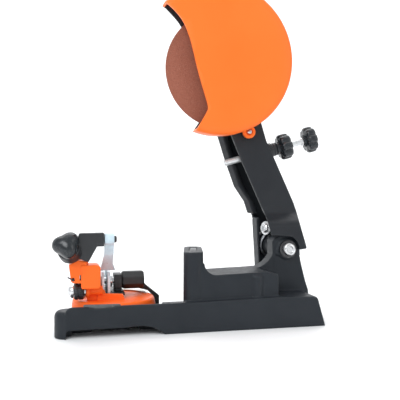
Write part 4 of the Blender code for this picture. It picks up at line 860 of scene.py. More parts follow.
make("arm_casting", arm, CAST_ARM, smooth=50)
finish_cad("hinge_bush", BRONZE)

bush = cut(turned(soft([(4.2, bush_h - 8), (4.2, bush_h + 2.0), (7.2, bush_h + 2.0), (7.2, bush_h + 4.8), (6.4, bush_h + 5.2),
                        (6.4, bush_h + 6.0), (6.0, bush_h + 6.3), (6.4, bush_h + 6.6), (6.4, bush_h + 8.6),
                        (5.8, bush_h + 9.2)], 0.4), rod_org, rod_dir, 36),
           cyl(ROD_R + 0.25, bush_h - 20, bush_h + 20, rod_org, rod_dir, 24))
make("threaded_bush", bush, BLACK, local=(rod_org, rod_dir))

# ---------------------------------------------------------------- wheel cover and back guard
cut_edge = [(6.2, 175.6), (12.8, 187.0), (16.2, 193.4), (16.6, 196.6), (15.8, 200.6), (13.3, 208.6), (10.6, 217.2), (8.2, 225.6),
            (6.0, 233.5), (3.0, 246.0), (-1.0, 260.0), (-8.0, 274.5), (-22.0, 289.0)]


def smooth_path(pts, n):
    """Catmull-Rom through the points."""
    out = []
    for i in range(len(pts) - 1):
        p0, p1, p2, p3 = [Vector(pts[min(max(k, 0), len(pts) - 1)]) for k in (i - 1, i, i + 1, i + 2)]
        for j in range(n):
            t = j / n
            q = 0.5 * ((2 * p1) + (p2 - p0) * t + (2 * p0 - 5 * p1 + 4 * p2 - p3) * t ** 2
                       + (3 * p1 - p0 - 3 * p2 + p3) * t ** 3)
            out.append(tuple(q))
    out.append(tuple(pts[-1]))
    return out


edge_line = [cut_edge[0]] + smooth_path(cut_edge[1:], 5)
a_tip = math.degrees(math.atan2(175.6 - COVER_Z, 6.2 - COVER_X))
a_top = math.degrees(math.atan2(289.0 - COVER_Z, -22.0 - COVER_X))
CC = Vector((COVER_X, 0, COVER_Z))


def cover_outline(r, grow=0.0, n=88):
    pts = arc(COVER_X, COVER_Z, r, a_tip, a_top, n)
    inner_pts = [(x + grow, z) for x, z in reversed(edge_line)]
    return pts + inner_pts[1:-1]


dish = turned([(0.0, -13.5), (26.0, -13.45), (46.0, -13.2), (57.0, -12.85), (63.8, -12.3), (66.6, -11.6), (68.4, -10.4),
               (69.4, -8.9), (69.8, -7.0), (69.8, COVER_Y1)], CC, Y_AX, 100)
hollow = turned([(0.0, -11.4), (46.0, -11.1), (60.0, -10.6), (65.4, -9.4), (67.0, -7.8), (67.6, -6.0), (67.6, 20.0)],
                CC, Y_AX, 100)
cover = cut(dish, hollow)
far_cut = prism_y([(edge_line[0][0] + 1.2, edge_line[0][1] - 14.0)] + edge_line
                  + [(edge_line[-1][0] - 12, edge_line[-1][1] + 16), (-90, 320), (-90, 150)], -40, 40)
cover = cut(cover, far_cut)
LUG = Vector((LUG_X, 0, LUG_Z))
lug = turned(soft([(5.2, 0.6), (6.0, 1.2), (6.0, COVER_Y1)], 0.3), LUG, Y_AX, 40)
cover = add(cover, lug)
cover = cut(cover, cyl(1.9, -20, 20, LUG, Y_AX, 24), cyl(3.3, -5, 1.5, LUG, Y_AX, 30),
            cyl(67.6, 0, 20, CC, Y_AX, 100))
make("wheel_cover", cover, ORANGE_SHELL, smooth=24)


def pan_screw(x, z, y_face, r_head, h_head, r_shank, depth, w=0.5):
    """Domed screw with a cross recess, entering along +Y."""
    h = h_head
    s = turned([(0.0, -h), (r_head * 0.35, -h * 0.98), (r_head * 0.62, -h * 0.88), (r_head * 0.84, -h * 0.68),
                (r_head * 0.96, -h * 0.4), (r_head, -h * 0.12), (r_head, 0.0), (r_shank, 0.0), (r_shank, depth)],
               (x, y_face, z), Y_AX, 30)
    a = box(x - w, x + w, y_face - h - 1, y_face - h * 0.45, z - r_head * 0.55, z + r_head * 0.55)
    b = box(x - r_head * 0.55, x + r_head * 0.55, y_face - h - 1, y_face - h * 0.45, z - w, z + w)
    return cut(s, a, b)


make("cover_screw", pan_screw(LUG_X, LUG_Z, 1.2, 2.25, 2.3, 1.45, 8.5, 0.42), ZINC, local=(LUG, Y_AX))
plate = prism_y(cover_outline(COVER_R, 1.2), PLATE_Y0, PLATE_Y1, 0.25, 0.25)
plate = add(plate, cyl(6.0, PLATE_Y0, PLATE_Y1, LUG, Y_AX, 32))
plate = cut(plate, cyl(1.9, -20, 20, LUG, Y_AX, 20), cyl(12.0, -20, 20, WC, Y_AX, 40),
            cyl(2.4, -20, 20, (34.0, 0, 259.6), Y_AX, 20))
make("back_guard", plate, GUARD)
make("guard_screw", pan_screw(34.0, 259.6, 4.0, 3.4, 1.6, 1.95, 6.0), ZINC, local=((34.0, 0, 259.6), Y_AX))

# ---------------------------------------------------------------- motor
R = MOTOR_R
housing = ring_turned([(R - 1.6, MOTOR_Y0), (R - 0.4, MOTOR_Y0 + 0.5), (R, MOTOR_Y0 + 1.6), (R, 63.4), (R - 0.25, 63.7),
                       (R - 0.6, 63.8), (R - 0.6, 65.2), (R - 0.25, 65.3), (R, 65.6), (R, 97.4), (R - 0.25, 97.7),
                       (R - 0.6, 97.8), (R - 0.6, 99.2), (R - 0.25, 99.3), (R, 99.6), (R, MOTOR_Y1 - 0.5),
                       (R - 0.4, MOTOR_Y1), (R - 2.4, MOTOR_Y1), (R - 2.4, MOTOR_Y0 + 3.0), (9.0, MOTOR_Y0 + 3.0), (9.0, MOTOR_Y0)],
                      WC, Y_AX, 64)
saddle = prism_y(rounded([(21.0, 247.0), (47.0, 247.0), (46.0, 268.0), (22.0, 268.0)], [0, 0, 1.6, 1.6], 5), 66.0, 96.0, 1.0, 1.0)
saddle = cut(saddle, cyl(MOTOR_R - 1.0, 0, 140, WC, Y_AX, 56))
housing = add(housing, saddle)
for k in range(9):
    a = math.radians(-168 + 156 * k / 8)
    d = Vector((math.cos(a), 0, math.sin(a)))
    side = Vector((-d.z, 0, d.x))
    pts = [(-1.1, 54.8), (-0.8, 54.3), (0.8, 54.3), (1.1, 54.8), (1.1, 60.7), (0.8, 61.2), (-0.8, 61.2), (-1.1, 60.7)]
    housing = cut(housing, loft([[WC + d * 21 + side * p + Vector((0, q, 0)) for p, q in pts],
                                 [WC + d * 28 + side * p + Vector((0, q, 0)) for p, q in pts]]))
for sx in (-1, 1):
    c = WC + Vector((sx * (R - 1.4), 102.0, 0))
    cap_b = turned(soft([(4.3, 0.0), (4.3, 1.0), (3.6, 1.35), (0.0, 1.4)], 0.2), c, Vector((sx, 0, 0)), 28)
    cap_b = cut(cap_b, box(c.x - 3 if sx < 0 else c.x + 0.7, c.x - 0.7 if sx < 0 else c.x + 3, 98.9, 105.1, c.z - 0.45, c.z + 0.45))
    housing = add(housing, cap_b)
make("motor_housing", housing, MOTOR_BLACK, smooth=32)
cap = turned(soft([(MOTOR_R, MOTOR_Y1 + GAP), (MOTOR_R, MOTOR_Y1 + 5), (MOTOR_R - 0.9, MOTOR_Y1 + 7.8), (MOTOR_R - 3, MOTOR_Y1 + 10.0),
                   (MOTOR_R - 5, MOTOR_Y1 + 11.3), (MOTOR_R - 7, MOTOR_Y1 + 12.0), (10.0, MOTOR_Y1 + 12.0),
                   (9.4, MOTOR_Y1 + 11.4), (8.8, MOTOR_Y1 + 12.0)], 0.4, 2), WC, Y_AX, 64)
cap = cut(cap, cyl(MOTOR_R - 2.6, MOTOR_Y1 - 5, MOTOR_Y1 + 4.2, WC, Y_AX, 64),
          cyl(9.3, MOTOR_Y1 - 5, MOTOR_Y1 + 8.0, WC, Y_AX, 32))
for k in range(5):
    zc = WHEEL_Z - 12 + 6 * k
    for x0 in (10.5, -19.5):
        cap = cut(cap, prism_y(rounded([(WHEEL_X + x0, zc - 1.2), (WHEEL_X + x0 + 9, zc - 1.2), (WHEEL_X + x0 + 9, zc + 1.2),
                                        (WHEEL_X + x0, zc + 1.2)], 1.1, 4), MOTOR_Y1 + 1, MOTOR_Y1 + 20))
for dx, dz in ((0.0, 17.6), (-13.0, -15.8)):
    cap = cut(cap, cyl(2.7, MOTOR_Y1 + 6.5, MOTOR_Y1 + 20, WC + Vector((dx, 0, dz)), Y_AX, 28))
    head_s = turned(soft([(2.3, MOTOR_Y1 + 6.0), (2.3, MOTOR_Y1 + 7.6), (2.0, MOTOR_Y1 + 8.3), (0, MOTOR_Y1 + 8.5)], 0.3),
                    WC + Vector((dx, 0, dz)), Y_AX, 28)
    sx, sz = WHEEL_X + dx, WHEEL_Z + dz
    head_s = cut(head_s, box(sx - 0.4, sx + 0.4, MOTOR_Y1 + 7.6, MOTOR_Y1 + 20, sz - 1.7, sz + 1.7),
                 box(sx - 1.7, sx + 1.7, MOTOR_Y1 + 7.6, MOTOR_Y1 + 20, sz - 0.4, sz + 0.4))
    make("cap_screw_%d" % (1 if dx == 0 else 2), head_s, ZINC, None, "head", local=((sx, MOTOR_Y1 + 7, sz), Y_AX))
make("rear_cap", cap, MOTOR_BLACK, smooth=32)
finish_cad("stator", LAMINATED)
finish_cad("front_bearing", ZINC_PLATE)
finish_cad("rear_bearing", ZINC_PLATE)
finish_cad("carbon_brush_left", CARBON)
finish_cad("carbon_brush_right", CARBON)
G = Vector((WHEEL_X, MOTOR_Y1 + 12.6, WHEEL_Z - 12))
gland = turned(soft([(6.2, 0.0), (6.2, 3.0), (5.2, 4.0), (5.1, 5.0), (4.5, 5.3), (4.5, 6.3), (5.0, 6.6), (4.9, 7.6),
                     (4.3, 7.9), (4.3, 8.9), (4.8, 9.2), (4.7, 10.2), (4.2, 10.5), (4.2, 11.4), (4.6, 11.7), (4.6, 13.0)],
                    0.2, 2), G, Y_AX, 32)
gland = cut(gland, cyl(3.4, 2, 30, G, Y_AX, 28))
make("cord_inlet", gland, RUBBER, local=(G, Y_AX))

# ---------------------------------------------------------------- handle and switch
stem_dir = Vector((-0.26, -0.10, 0.96)).normalized()
stem_org = Vector((34.0, 81.0, 268.4))
foot = prism_z(rounded([(24.0, 68.0), (44.0, 68.0), (44.0, 94.0), (24.0, 94.0)], 4, 8), 268.3, 273.0, 0.0, 1.0)
stem_bm = add(foot, turned([(6.0, 50.0), (6.0, 9.0), (6.6, 6.6), (8.4, 5.0), (8.4, 3.0)], stem_org, stem_dir, 36))
for dx, dy in ((-6.4, -9.0), (6.4, -9.0), (-6.4, 9.0), (6.4, 9.0)):
    stem_bm = cut(stem_bm, cyl(2.3, 271.2, 276, (34.0 + dx, 81.0 + dy, 0), Z_AX, 24))
    sc_h = cut(turned(soft([(1.9, 270.6), (1.9, 272.2), (1.3, 272.7), (0, 272.8)], 0.2), (34.0 + dx, 81.0 + dy, 0), Z_AX, 24),
               cyl(0.95, 271.9, 280, (34.0 + dx, 81.0 + dy, 0), Z_AX, 6))
    make("stem_screw_%s%s" % ("a" if dx < 0 else "b", "a" if dy < 0 else "b"), sc_h, ZINC, None, "head",
         local=((34.0 + dx, 81.0 + dy, 272), Z_AX))
make("handle_stem", stem_bm, MOTOR_BLACK, smooth=32)
gp = [(8.6, 7.5), (10.2, 8.1), (10.6, 9.5), (10.4, 11.0)]
for k in range(8):
    h = 13.0 + k * 4.2
    r = 10.1 + 1.2 * math.sin(math.pi * (h - 12) / 38) + (0.35 if 36 < h < 42 else 0)
    gp += [(r, h), (r + 0.25, h + 1.2), (r, h + 2.8), (r - 0.55, h + 3.2), (r - 0.55, h + 3.8)]
gp += [(11.4, 47.4), (11.6, 50.0), (10.9, 52.6), (9.4, 54.6), (7.4, 55.6), (5.0, 56.0)]
grip = turned(soft(gp, 0.3, 2), stem_org, stem_dir, 36)
grip = cut(grip, cyl(6.3, 0, 50.6, stem_org, stem_dir, 28))
make("handle_grip", grip, RUBBER, smooth=40)

sw_n = Vector((0.78, 0.0, 0.62)).normalized()
sw_u = Vector((0, 1, 0))
sw_v = sw_n.cross(sw_u).normalized()
sw_c = WC + Vector((0, 84.0, 0)) + sw_n * (MOTOR_R + 0.4)


def oriented(c, u, v, n, hu, hv, n0, n1, ch=0.0, soft_top=0.0):
    pts = rounded([(-hu, -hv), (hu, -hv), (hu, hv), (-hu, hv)], ch, 6) if ch else [(-hu, -hv), (hu, -hv), (hu, hv), (-hu, hv)]
    rings = [[c + u * a + v * b + n * n0 for a, b in pts]]
    for k in range(4 if soft_top else 1):
        t = math.radians(30 * k)
        e = soft_top * (1 - math.cos(t)) if soft_top else 0
        h = n1 - (soft_top * (1 - math.sin(t)) if soft_top else 0)
        rings.append([c + u * a + v * b + n * h for a, b in inset(pts, e)])
    return loft(rings)


swb = oriented(sw_c, sw_u, sw_v, sw_n, 13.0, 9.0, -6.0, 6.0, 2.0, 0.7)
swb = cut(swb, cyl(MOTOR_R + GAP, 0, 140, WC, Y_AX, 64))
swb = cut(swb, oriented(sw_c, sw_u, sw_v, sw_n, 9.6, 6.0, 1.4, 10.0, 0.8))
make("switch_box", swb, BLACK)
rock_c = sw_c + sw_n * 4.2
OFF = math.radians(-7.0)
prof = rounded([(a * math.cos(OFF) - b * math.sin(OFF), a * math.sin(OFF) + b * math.cos(OFF))
                for a, b in [(-8.6, 0.6), (-8.6, 3.2), (0.0, 1.6), (8.6, 3.2), (8.6, 0.6), (0.0, -1.9)]],
               [0.3, 0.5, 6.0, 0.5, 0.3, 2.0], 6)
rings = []
for s, e in ((-5.4, 0.35), (-5.25, 0.1), (-5.0, 0.0), (5.0, 0.0), (5.25, 0.1), (5.4, 0.35)):
    rings.append([rock_c + sw_u * a + sw_n * b + sw_v * s for a, b in inset(prof, e)])
make("rocker_switch", loft(rings), RED, smooth=40)

# ---------------------------------------------------------------- spindle group
wh = WHEEL_T / 2
wheel = ring_turned([(WHEEL_BORE / 2, -wh), (WHEEL_R - 1.3, -wh), (WHEEL_R - 0.5, -wh + 0.25), (WHEEL_R, -wh + 0.9),
                     (WHEEL_R, wh - 0.9), (WHEEL_R - 0.5, wh - 0.25), (WHEEL_R - 1.3, wh), (WHEEL_BORE / 2, wh)], WC, Y_AX, 110)
make("grinding_wheel", wheel, ABRASIVE, local=(WC, Y_AX))
make("spindle", turned(soft([(3.0, -10.6), (3.4, -10.6), (4.0, -10.0), (4.0, 118.4), (3.2, 119.2)], 0.2), WC, Y_AX, 32),
     ZINC, local=(WC, Y_AX))
make("inner_flange", ring_turned([(4.3, -1.2), (10.8, -1.2), (10.8, 1.9), (11.6, 1.9), (11.6, 4.2), (6.4, 4.2), (6.4, 6.8),
                                  (4.3, 6.8)], WC, Y_AX, 44), ZINC, local=(WC, Y_AX))
make("outer_flange", tube(4.3, 16.0, -4.0, -1.9, WC, Y_AX, 48, 0.35), ZINC, local=(WC, Y_AX))
wn = cut(common(cyl(7.5, -9.6, -4.3, WC, Y_AX, 6), turned([(6.3, -9.7), (7.6, -8.9), (7.6, -4.3)], WC, Y_AX, 40)),
         cyl(4.3, -20, 0, WC, Y_AX, 24))
make("wheel_nut", wn, ZINC, local=(WC, Y_AX))
finish_cad("armature", COPPER)
finish_cad("commutator", COPPER)
finish_cad("cooling_fan", BLACK)

# ---------------------------------------------------------------- depth rod, its knobs and the spring screw
rod = turned(soft([(0.0, 0.0), (2.1, 0.0), (ROD_R, 1.1), (ROD_R, rod_len - 1.0), (2.2, rod_len)], 0.25), rod_org, rod_dir, 32)
make("depth_rod", rod, ZINC_ROD, local=(rod_org, rod_dir))


def scallop(n, depth, sharp=3.0):
    """Flat-topped lobes with narrow rounded grooves between them."""
    def f(a, r):
        c = 0.5 - 0.5 * math.cos(n * a)
        return r * (1.0 - depth * c ** sharp) if r > 7.4 else r
    return f


def hand_knob(h0, thick, r, hub, lobes=8, depth=0.13):
    t = thick
    prof = [(hub[0] - 0.4, h0 - hub[1]), (hub[0], h0 - hub[1] + 0.4), (hub[0], h0 - 0.2), (hub[0] + 0.6, h0 + 0.2), (r * 0.84, h0 + 0.4),
            (r * 0.93, h0 + 0.8), (r * 0.985, h0 + 1.8), (r, h0 + 3.0), (r, h0 + t - 3.0), (r * 0.985, h0 + t - 1.8),
            (r * 0.94, h0 + t - 0.8), (r * 0.85, h0 + t - 0.25), (r * 0.74, h0 + t - 0.05), (r * 0.60, h0 + t - 0.35),
            (r * 0.52, h0 + t - 0.9), (r * 0.42, h0 + t - 0.9)]
    return turned(prof, rod_org, rod_dir, 48, scallop(lobes, depth))


knob_h = 85.4
ek = hand_knob(knob_h, 9.6, 12.6, (6.0, 2.0))
ek = cut(ek, cyl(ROD_R + 0.3, knob_h - 8, rod_len + 0.4, rod_org, rod_dir, 24))
make("rod_end_knob", ek, BLACK_KNOB, local=(rod_org, rod_dir), smooth=32)
make("rod_end_collar", tube(ROD_R + 0.15, 4.1, knob_h - 4.4, knob_h - 2.2, rod_org, rod_dir, 32, 0.3), ZINC, None, "rod",
     local=(rod_org, rod_dir))
lk_h = bush_h + 13.2
lk = hand_knob(lk_h, 11.0, 12.4, (6.2, 3.6))
lk = cut(lk, cyl(ROD_R + 0.35, lk_h - 8, lk_h + 20, rod_org, rod_dir, 24))
make("rod_lock_knob", lk, BLACK_KNOB, local=(rod_org, rod_dir), smooth=32)

ts = turned(soft([(2.2, -9.0), (2.5, -8.6), (2.5, 0.0), (6.6, 0.0), (6.6, 1.2), (4.6, 1.4), (4.6, 3.4), (3.6, 4.2),
                  (1.6, 4.2), (1.6, 2.2), (0.0, 2.2)], 0.3), lug_org, lug_dir, 36)
make("spring_screw", ts, ZINC, local=(lug_org, lug_dir))

# ================================================================ swivel table with the chain vise
disc = turned([(0.0, TABLE_Z0), (36.4, TABLE_Z0), (TABLE_R, TABLE_Z0 + 0.6), (TABLE_R, TABLE_Z0 + 1.6),
               (TABLE_R - 0.9, TABLE_Z1 - 2.2), (TABLE_R - 1.5, TABLE_Z1 - 0.9), (TABLE_R - 2.6, TABLE_Z1), (0.0, TABLE_Z1)],
              TC, Z_AX, 72)
tower_plate = prism_y(rounded([(-106.6, 59.5), (-105.4, 50.0), (-104.8, 44.2), (-97.5, 44.0), (-92.0, 44.0), (-92.0, 62.0),
                               (-99.0, 63.5)], [2, 1, 3, 0, 0, 1, 1], 6), -30.0, -20.0, 0.5, 0.5)
tower_box = prism_y(rounded([(-96.4, 39.0), (-80.4, 39.0), (-80.4, 59.0), (-96.4, 59.0)], [1.5, 2.5, 3.5, 0.5], 8), -31.0, -26.8,
                    0.9, 0.0)
tower_back = prism_y(rounded([(-91.6, 39.0), (-80.4, 39.0), (-80.4, 59.0), (-96.4, 59.0), (-96.4, 44.2), (-91.6, 44.2)],
                             [0, 2.5, 3.5, 0.5, 0, 0], 8), -27.0, -14.0)
tower_fin = prism_y([(-95.2, 55.0), (-90.0, 55.0), (-91.4, 69.0), (-92.6, 69.0)], -27.0, -21.0)
tower_leg = box(-91.2, -81.0, -17.0, -8.6, 24.0, 41.0)
barrel_b = turned(soft([(5.3, -92.4), (5.9, -91.8), (5.9, -89.6), (5.3, -89.2), (3.9, -89.0), (3.9, -78.0)], 0.3),
                  (0, SCREW_Y, SCREW_Z), X_AX, 36)
tower = add(disc, tower_leg, tower_back, tower_box, tower_plate, tower_fin, barrel_b)
wedge = prism_y(rounded([(-84.0, 26.0), (-60.0, 26.0), (-62.0, 29.2), (-82.0, 29.2)], [0, 0, 0.5, 0.5], 3), -16.0, 23.0)
shoulder = prism_y([(-83.0, 26.0), (-81.0, 37.6), (-79.2, 38.2), (-76.0, 34.8), (-75.4, 32.6), (-60.6, 31.6), (-58.8, 26.0)],
                   -18.2, -14.8)
tower = add(tower, wedge, shoulder)
tower = cut(tower,
            cyl(3.25, -130, -60, (0, SCREW_Y, SCREW_Z), X_AX, 24),
            cyl(1.5, -40, -10, (-103.0, 0, 47.2), Y_AX, 18),
            box(-97.7, -96.5, -40, -15, 46.2, 51.0),
            cyl(5.25, 0, 60, TC, Z_AX, 28),
            cyl(9.0, 24.9, 60, TC, Z_AX, 6))
tower = cast_skin(tower, 0.36, 2, 52000)
make("turntable", tower, ORANGE_METAL, smooth=50)
# black plugs set inside the pin hole and the slot as painted shade, so both read dark instead of showing through
make("tower_plug", cyl(1.2, -27.6, -26.8, (-103.0, 0, 47.2), Y_AX, 18), BLACK, None, "table")
make("tower_slot_plug", box(-97.5, -96.7, -27.6, -26.8, 46.4, 50.8), BLACK, None, "table")

pb = common(cyl(7.9, 25.1, 28.9, TC, Z_AX, 6), turned([(7.9, 25.0), (7.9, 28.3), (6.7, 29.0)], TC, Z_AX, 40))
pb = add(pb, cyl(5.0, 1.6, 26.0, TC, Z_AX, 28))
make("pivot_bolt", pb, ZINC, local=(TC, Z_AX))
# the rail bed is dark blackened steel so the gap under the rails reads as painted shade
make("rail_bed", prism_z(rounded([(-80.4, -12.0), (-58.2, -12.0), (-58.2, 27.0), (-80.4, 27.0)], 1.2, 4), 29.5, 31.5, 0.2, 0.3),
     DARK_STEEL)


def rail(x0, x1, z0, z1):
    return prism_x(rounded([(-14.0, z0), (28.0, z0), (28.0, z1 - 4.0), (24.0, z1), (-10.0, z1), (-14.0, z1 - 4.0)],
                           [0.5, 0.5, 2, 3, 3, 2], 6), x0, x1, 0.3, 0.3)


CL = Vector((0, 7.0, 40.4))
fr = cut(rail(-78.6, -76.2, 31.8, 50.6), cyl(3.4, -100, -50, CL, X_AX, 28), cyl(1.6, -100, -50, (0, 22.0, 40.4), X_AX, 18))
make("fixed_rail", fr, ZINC_PLATE)
backstop = add(box(-80.2, -78.9, -12.0, 26.0, 31.8, 46.0, 0.3, 0.3), box(-90.0, -78.9, 14.0, 24.0, 31.8, 34.0, 0.8, 0.4))
backstop = cut(backstop, cyl(3.4, -100, -50, CL, X_AX, 28))
make("rail_support", backstop, PLATE)

collar = prism_x(rounded([(-1.0, 33.6), (15.0, 33.6), (15.0, 46.4), (-1.0, 46.4)], 1.2, 5), -66.6, -59.8, 0.5, 0.5)
collar = cut(collar, cyl(4.6, -80, -40, CL, X_AX, 28))
foot_b = box(-66.6, -59.8, 0.0, 14.0, 31.8, 35.0, 0.8)
make("clamp_block", add(collar, foot_b), BLACK_BLOCK)
mr = cut(rail(-73.4, -71.0, 31.8, 50.6), cyl(3.4, -100, -50, CL, X_AX, 28))
make("moving_rail", mr, ZINC_PLATE)
pusher = tube(3.4, 6.0, -70.7, -67.9, CL, X_AX, 32, 0.3)
make("jaw_washer", pusher, ZINC, local=(CL + Vector((-70, 0, 0)), X_AX))


def octo(r, rot=22.5):
    return [(7.0 + r * math.cos(math.radians(rot + 45 * i)), 40.4 + r * math.sin(math.radians(rot + 45 * i))) for i in range(8)]


rings = []
for x, r in ((-59.4, 7.3), (-59.0, 7.7), (-57.6, 8.4), (-41.4, 8.4), (-40.0, 7.8), (-39.6, 7.3)):
    rings.append([(x, y, z) for y, z in rounded(octo(r), 0.9, 4)])
hub = loft(rings)
handle = prism_y(rounded([(-46.0, 43.0), (-40.6, 40.0), (-36.6, 34.2), (-24.0, 23.8), (-24.0, 15.6), (-31.0, 15.6), (-31.0, 25.2),
                          (-35.2, 29.0), (-46.0, 32.0)], [0, 1.2, 1.2, 1.0, 1.0, 1.0, 1.5, 1.5, 0], 4), 12.5, 21.5, 0.45, 0.45)
hub = add(cut(hub, cyl(3.3, -64, -46, CL, X_AX, 28)), handle)
hub = cast_skin(hub, 0.3, 2, 24000)
make("clamp_lever", hub, BLACK_BLOCK, smooth=50)
make("clamp_screw", turned(soft([(0.0, -80.9), (2.5, -80.9), (2.9, -80.5), (2.9, -47.0)], 0.1), CL, X_AX, 28), ZINC,
     local=(CL + Vector((-70, 0, 0)), X_AX))

# ---------------------------------------------------------------- chain stop
cup_c = KNOB_C - KNOB_DIR * 15.0
cup = turned([(0.0, -2.2), (7.6, -2.2), (8.4, -1.9), (9.3, -0.9), (9.6, 0.4), (9.6, 7.2), (9.3, 8.1), (8.6, 8.4), (7.9, 8.2),
              (7.6, 7.6), (7.6, 6.9), (0.0, 6.9)], cup_c, KNOB_DIR, 40)
web = prism_y(rounded([(-100.0, 72.0), (-98.4, 86.0), (-77.6, 86.0), (-77.6, 74.6), (-83.4, 74.6), (-90.6, 61.6),
                       (-96.0, 63.9)], [2, 2, 0.5, 0.5, 1, 0.5, 0.5], 5), -33.0, -27.4, 0.5, 0.0)
bossx = turned(soft([(4.4, -98.0), (4.4, -85.8), (5.5, -85.6), (5.9, -85.1), (5.9, -77.9), (5.4, -77.5)], 0.3), (0, -27.0, 80.2), X_AX, 36)
bracket = add(cup, web, bossx)
bracket = add(bracket, box(-104.0, -95.0, -33.0, -28.4, 64.2, 74.0))
bracket = cut(bracket, cyl(2.3, -90, -60, (0, -27.0, 80.2), X_AX, 20),
              cyl(3.3, 0.5, 30, cup_c, KNOB_DIR, 24),
              box(-110, -80, -31.4, -16.6, 50.0, 63.8),
              box(-99.5, -91.5, -24.5, -18.0, 70.0, 90.0))
bracket = cast_skin(bracket, 0.32, 2, 30000)
make("stop_bracket", bracket, BLACK, smooth=50)


def three(a, r):
    return r * (1.0 - 0.24 * (0.5 - 0.5 * math.cos(3 * a)) ** 1.2) if r > 2 else r


lobed = turned([(3.4, -5.6), (8.4, -5.6), (9.9, -5.4), (10.9, -4.9), (11.6, -4.0), (11.95, -2.6), (12.0, -1.2), (11.85, 0.4),
                (11.3, 1.9), (10.4, 3.3), (9.1, 4.6), (7.5, 5.65), (5.6, 6.4), (3.6, 6.9), (1.8, 7.12), (0.0, 7.2)],
               KNOB_C, KNOB_DIR, 56, three)
lobed = cut(lobed, cyl(3.3, -10, 2.0, KNOB_C, KNOB_DIR, 24))
make("stop_knob", lobed, BLACK_KNOB, smooth=40)
ks = turned(soft([(2.6, -13.6), (3.0, -13.0), (3.0, 1.6)], 0.1), KNOB_C, KNOB_DIR, 28)
make("stop_knob_screw", ks, ZINC, local=(KNOB_C, KNOB_DIR))
make("stop_knob_ring", tube(3.1, 7.0, -7.2, -6.1, KNOB_C, KNOB_DIR, 32, 0.25), ZINC, None, "stop_knob_body", local=(KNOB_C, KNOB_DIR))

PV = Vector((0, -27.0, 80.2))
eye = turned(soft([(4.8, -77.0), (5.2, -76.7), (5.2, -69.3), (4.8, -69.0)], 0.15), PV, X_AX, 36)
arm_p = loft([[(-76.9, -31.0, 79.0), (-69.1, -31.0, 79.0), (-69.1, -24.0, 79.0), (-76.9, -24.0, 79.0)],
              [(-76.9, -24.0, 66.5), (-69.1, -24.0, 66.5), (-69.1, -20.5, 68.0), (-76.9, -20.5, 68.0)],
              [(-78.4, -17.0, 58.0), (-69.2, -17.0, 58.0), (-69.2, -14.6, 59.4), (-78.4, -14.6, 59.4)],
              [(-79.8, -11.4, 51.6), (-66.6, -11.4, 51.6), (-66.6, -9.0, 52.8), (-79.8, -9.0, 52.8)]])
pawl = cut(add(eye, arm_p), cyl(2.3, -90, -60, PV, X_AX, 24))
pawl = cast_skin(pawl, 0.24, 1, 22000)
make("chain_pawl", pawl, PAWL, smooth=40)
pin = turned(soft([(0.0, -89.6), (1.95, -89.6), (1.95, -68.7), (2.9, -68.7), (2.9, -67.3), (2.0, -66.7), (0.0, -66.7)], 0.2), PV, X_AX, 28)
make("pawl_pin", pin, DARK_STEEL, local=(PV + Vector((-75, 0, 0)), X_AX))

# ---------------------------------------------------------------- tower's locking screw
SC = Vector((0, SCREW_Y, SCREW_Z))


def knurl(a, r):
    return r * (1.0 - 0.045 * (0.5 - 0.5 * math.cos(28 * a))) if r > 6.9 else r


kn = turned([(3.3, -102.2), (6.2, -102.2), (6.7, -102.0), (7.1, -101.4), (7.3, -100.9), (7.3, -99.0), (6.85, -98.8), (6.85, -98.2),
             (7.3, -98.0), (7.3, -95.2), (7.1, -94.8), (6.7, -94.2), (6.2, -94.0), (3.3, -94.0)], SC, X_AX, 112, knurl)
kn = cut(kn, cyl(3.3, -120, -80, SC, X_AX, 24))
make("knurled_nut", kn, BLACK, smooth=40)
dome = turned(soft([(0.0, -107.4), (2.0, -107.2), (3.5, -106.7), (4.6, -105.8), (5.3, -104.8), (5.8, -103.4), (5.8, -102.5),
                    (3.0, -102.5), (3.0, -79.0), (2.4, -78.4)], 0.2, 2), SC, X_AX, 36)
make("dome_bolt", dome, ZINC, local=(SC + Vector((-95, 0, 0)), X_AX))
make("thrust_washer", tube(3.35, 6.6, -93.7, -92.7, SC, X_AX, 36, 0.15), ZINC, local=(SC + Vector((-93, 0, 0)), X_AX))
make("tower_pin", sweep(smooth_path([(-107.6, -31.6, 49.6), (-105.4, -31.6, 48.4), (-103.6, -31.5, 47.4), (-103.0, -30.8, 47.2),
                                     (-103.0, -28.0, 47.2), (-103.0, -21.0, 47.2)], 5), 0.55, 12), DARK_STEEL)

sc = cut(common(tube(30.0, 34.2, TABLE_Z1 + GAP, TABLE_Z1 + GAP + 0.8, TC, Z_AX, 72), box(-97.0, -37.0, 5.0, 40.0, 20, 40)),
         box(-90.0, -50.0, -40, 4, 20, 40))
for k in range(25):
    a = math.radians(12 + 156 * k / 24)
    d = Vector((math.cos(a), math.sin(a), 0))
    s = Vector((-d.y, d.x, 0))
    r0 = 31.0 if k % 6 == 0 else (32.2 if k % 3 == 0 else 32.8)
    if TC.y + d.y * 32 < 6.5:
        continue
    sc = cut(sc, loft([[TC + d * r + s * w + Vector((0, 0, TABLE_Z1 + GAP + h)) for r, w in ((r0, -0.14), (34.6, -0.14), (34.6, 0.14), (r0, 0.14))]
                       for h in (0.6, 1.4)]))
make("angle_scale", sc, SCALE)


def five(a, r):
    return r * (1.0 - 0.17 * (0.5 - 0.5 * math.cos(5 * a)) ** 1.4) if r > 10.2 else r


tk = turned([(9.0, 1.4), (18.4, 1.2), (21.0, 1.4), (22.4, 2.0), (23.0, 3.2), (23.0, 6.8), (22.6, 8.0), (21.4, 9.0), (19.4, 9.5),
             (12.0, 10.0), (9.4, 10.3), (9.0, 10.8), (9.0, 11.6)], TC, Z_AX, 64, five)
tk = cut(tk, cyl(5.3, -5, 20, TC, Z_AX, 28))
make("table_lock_knob", tk, BLACK_KNOB, smooth=40)

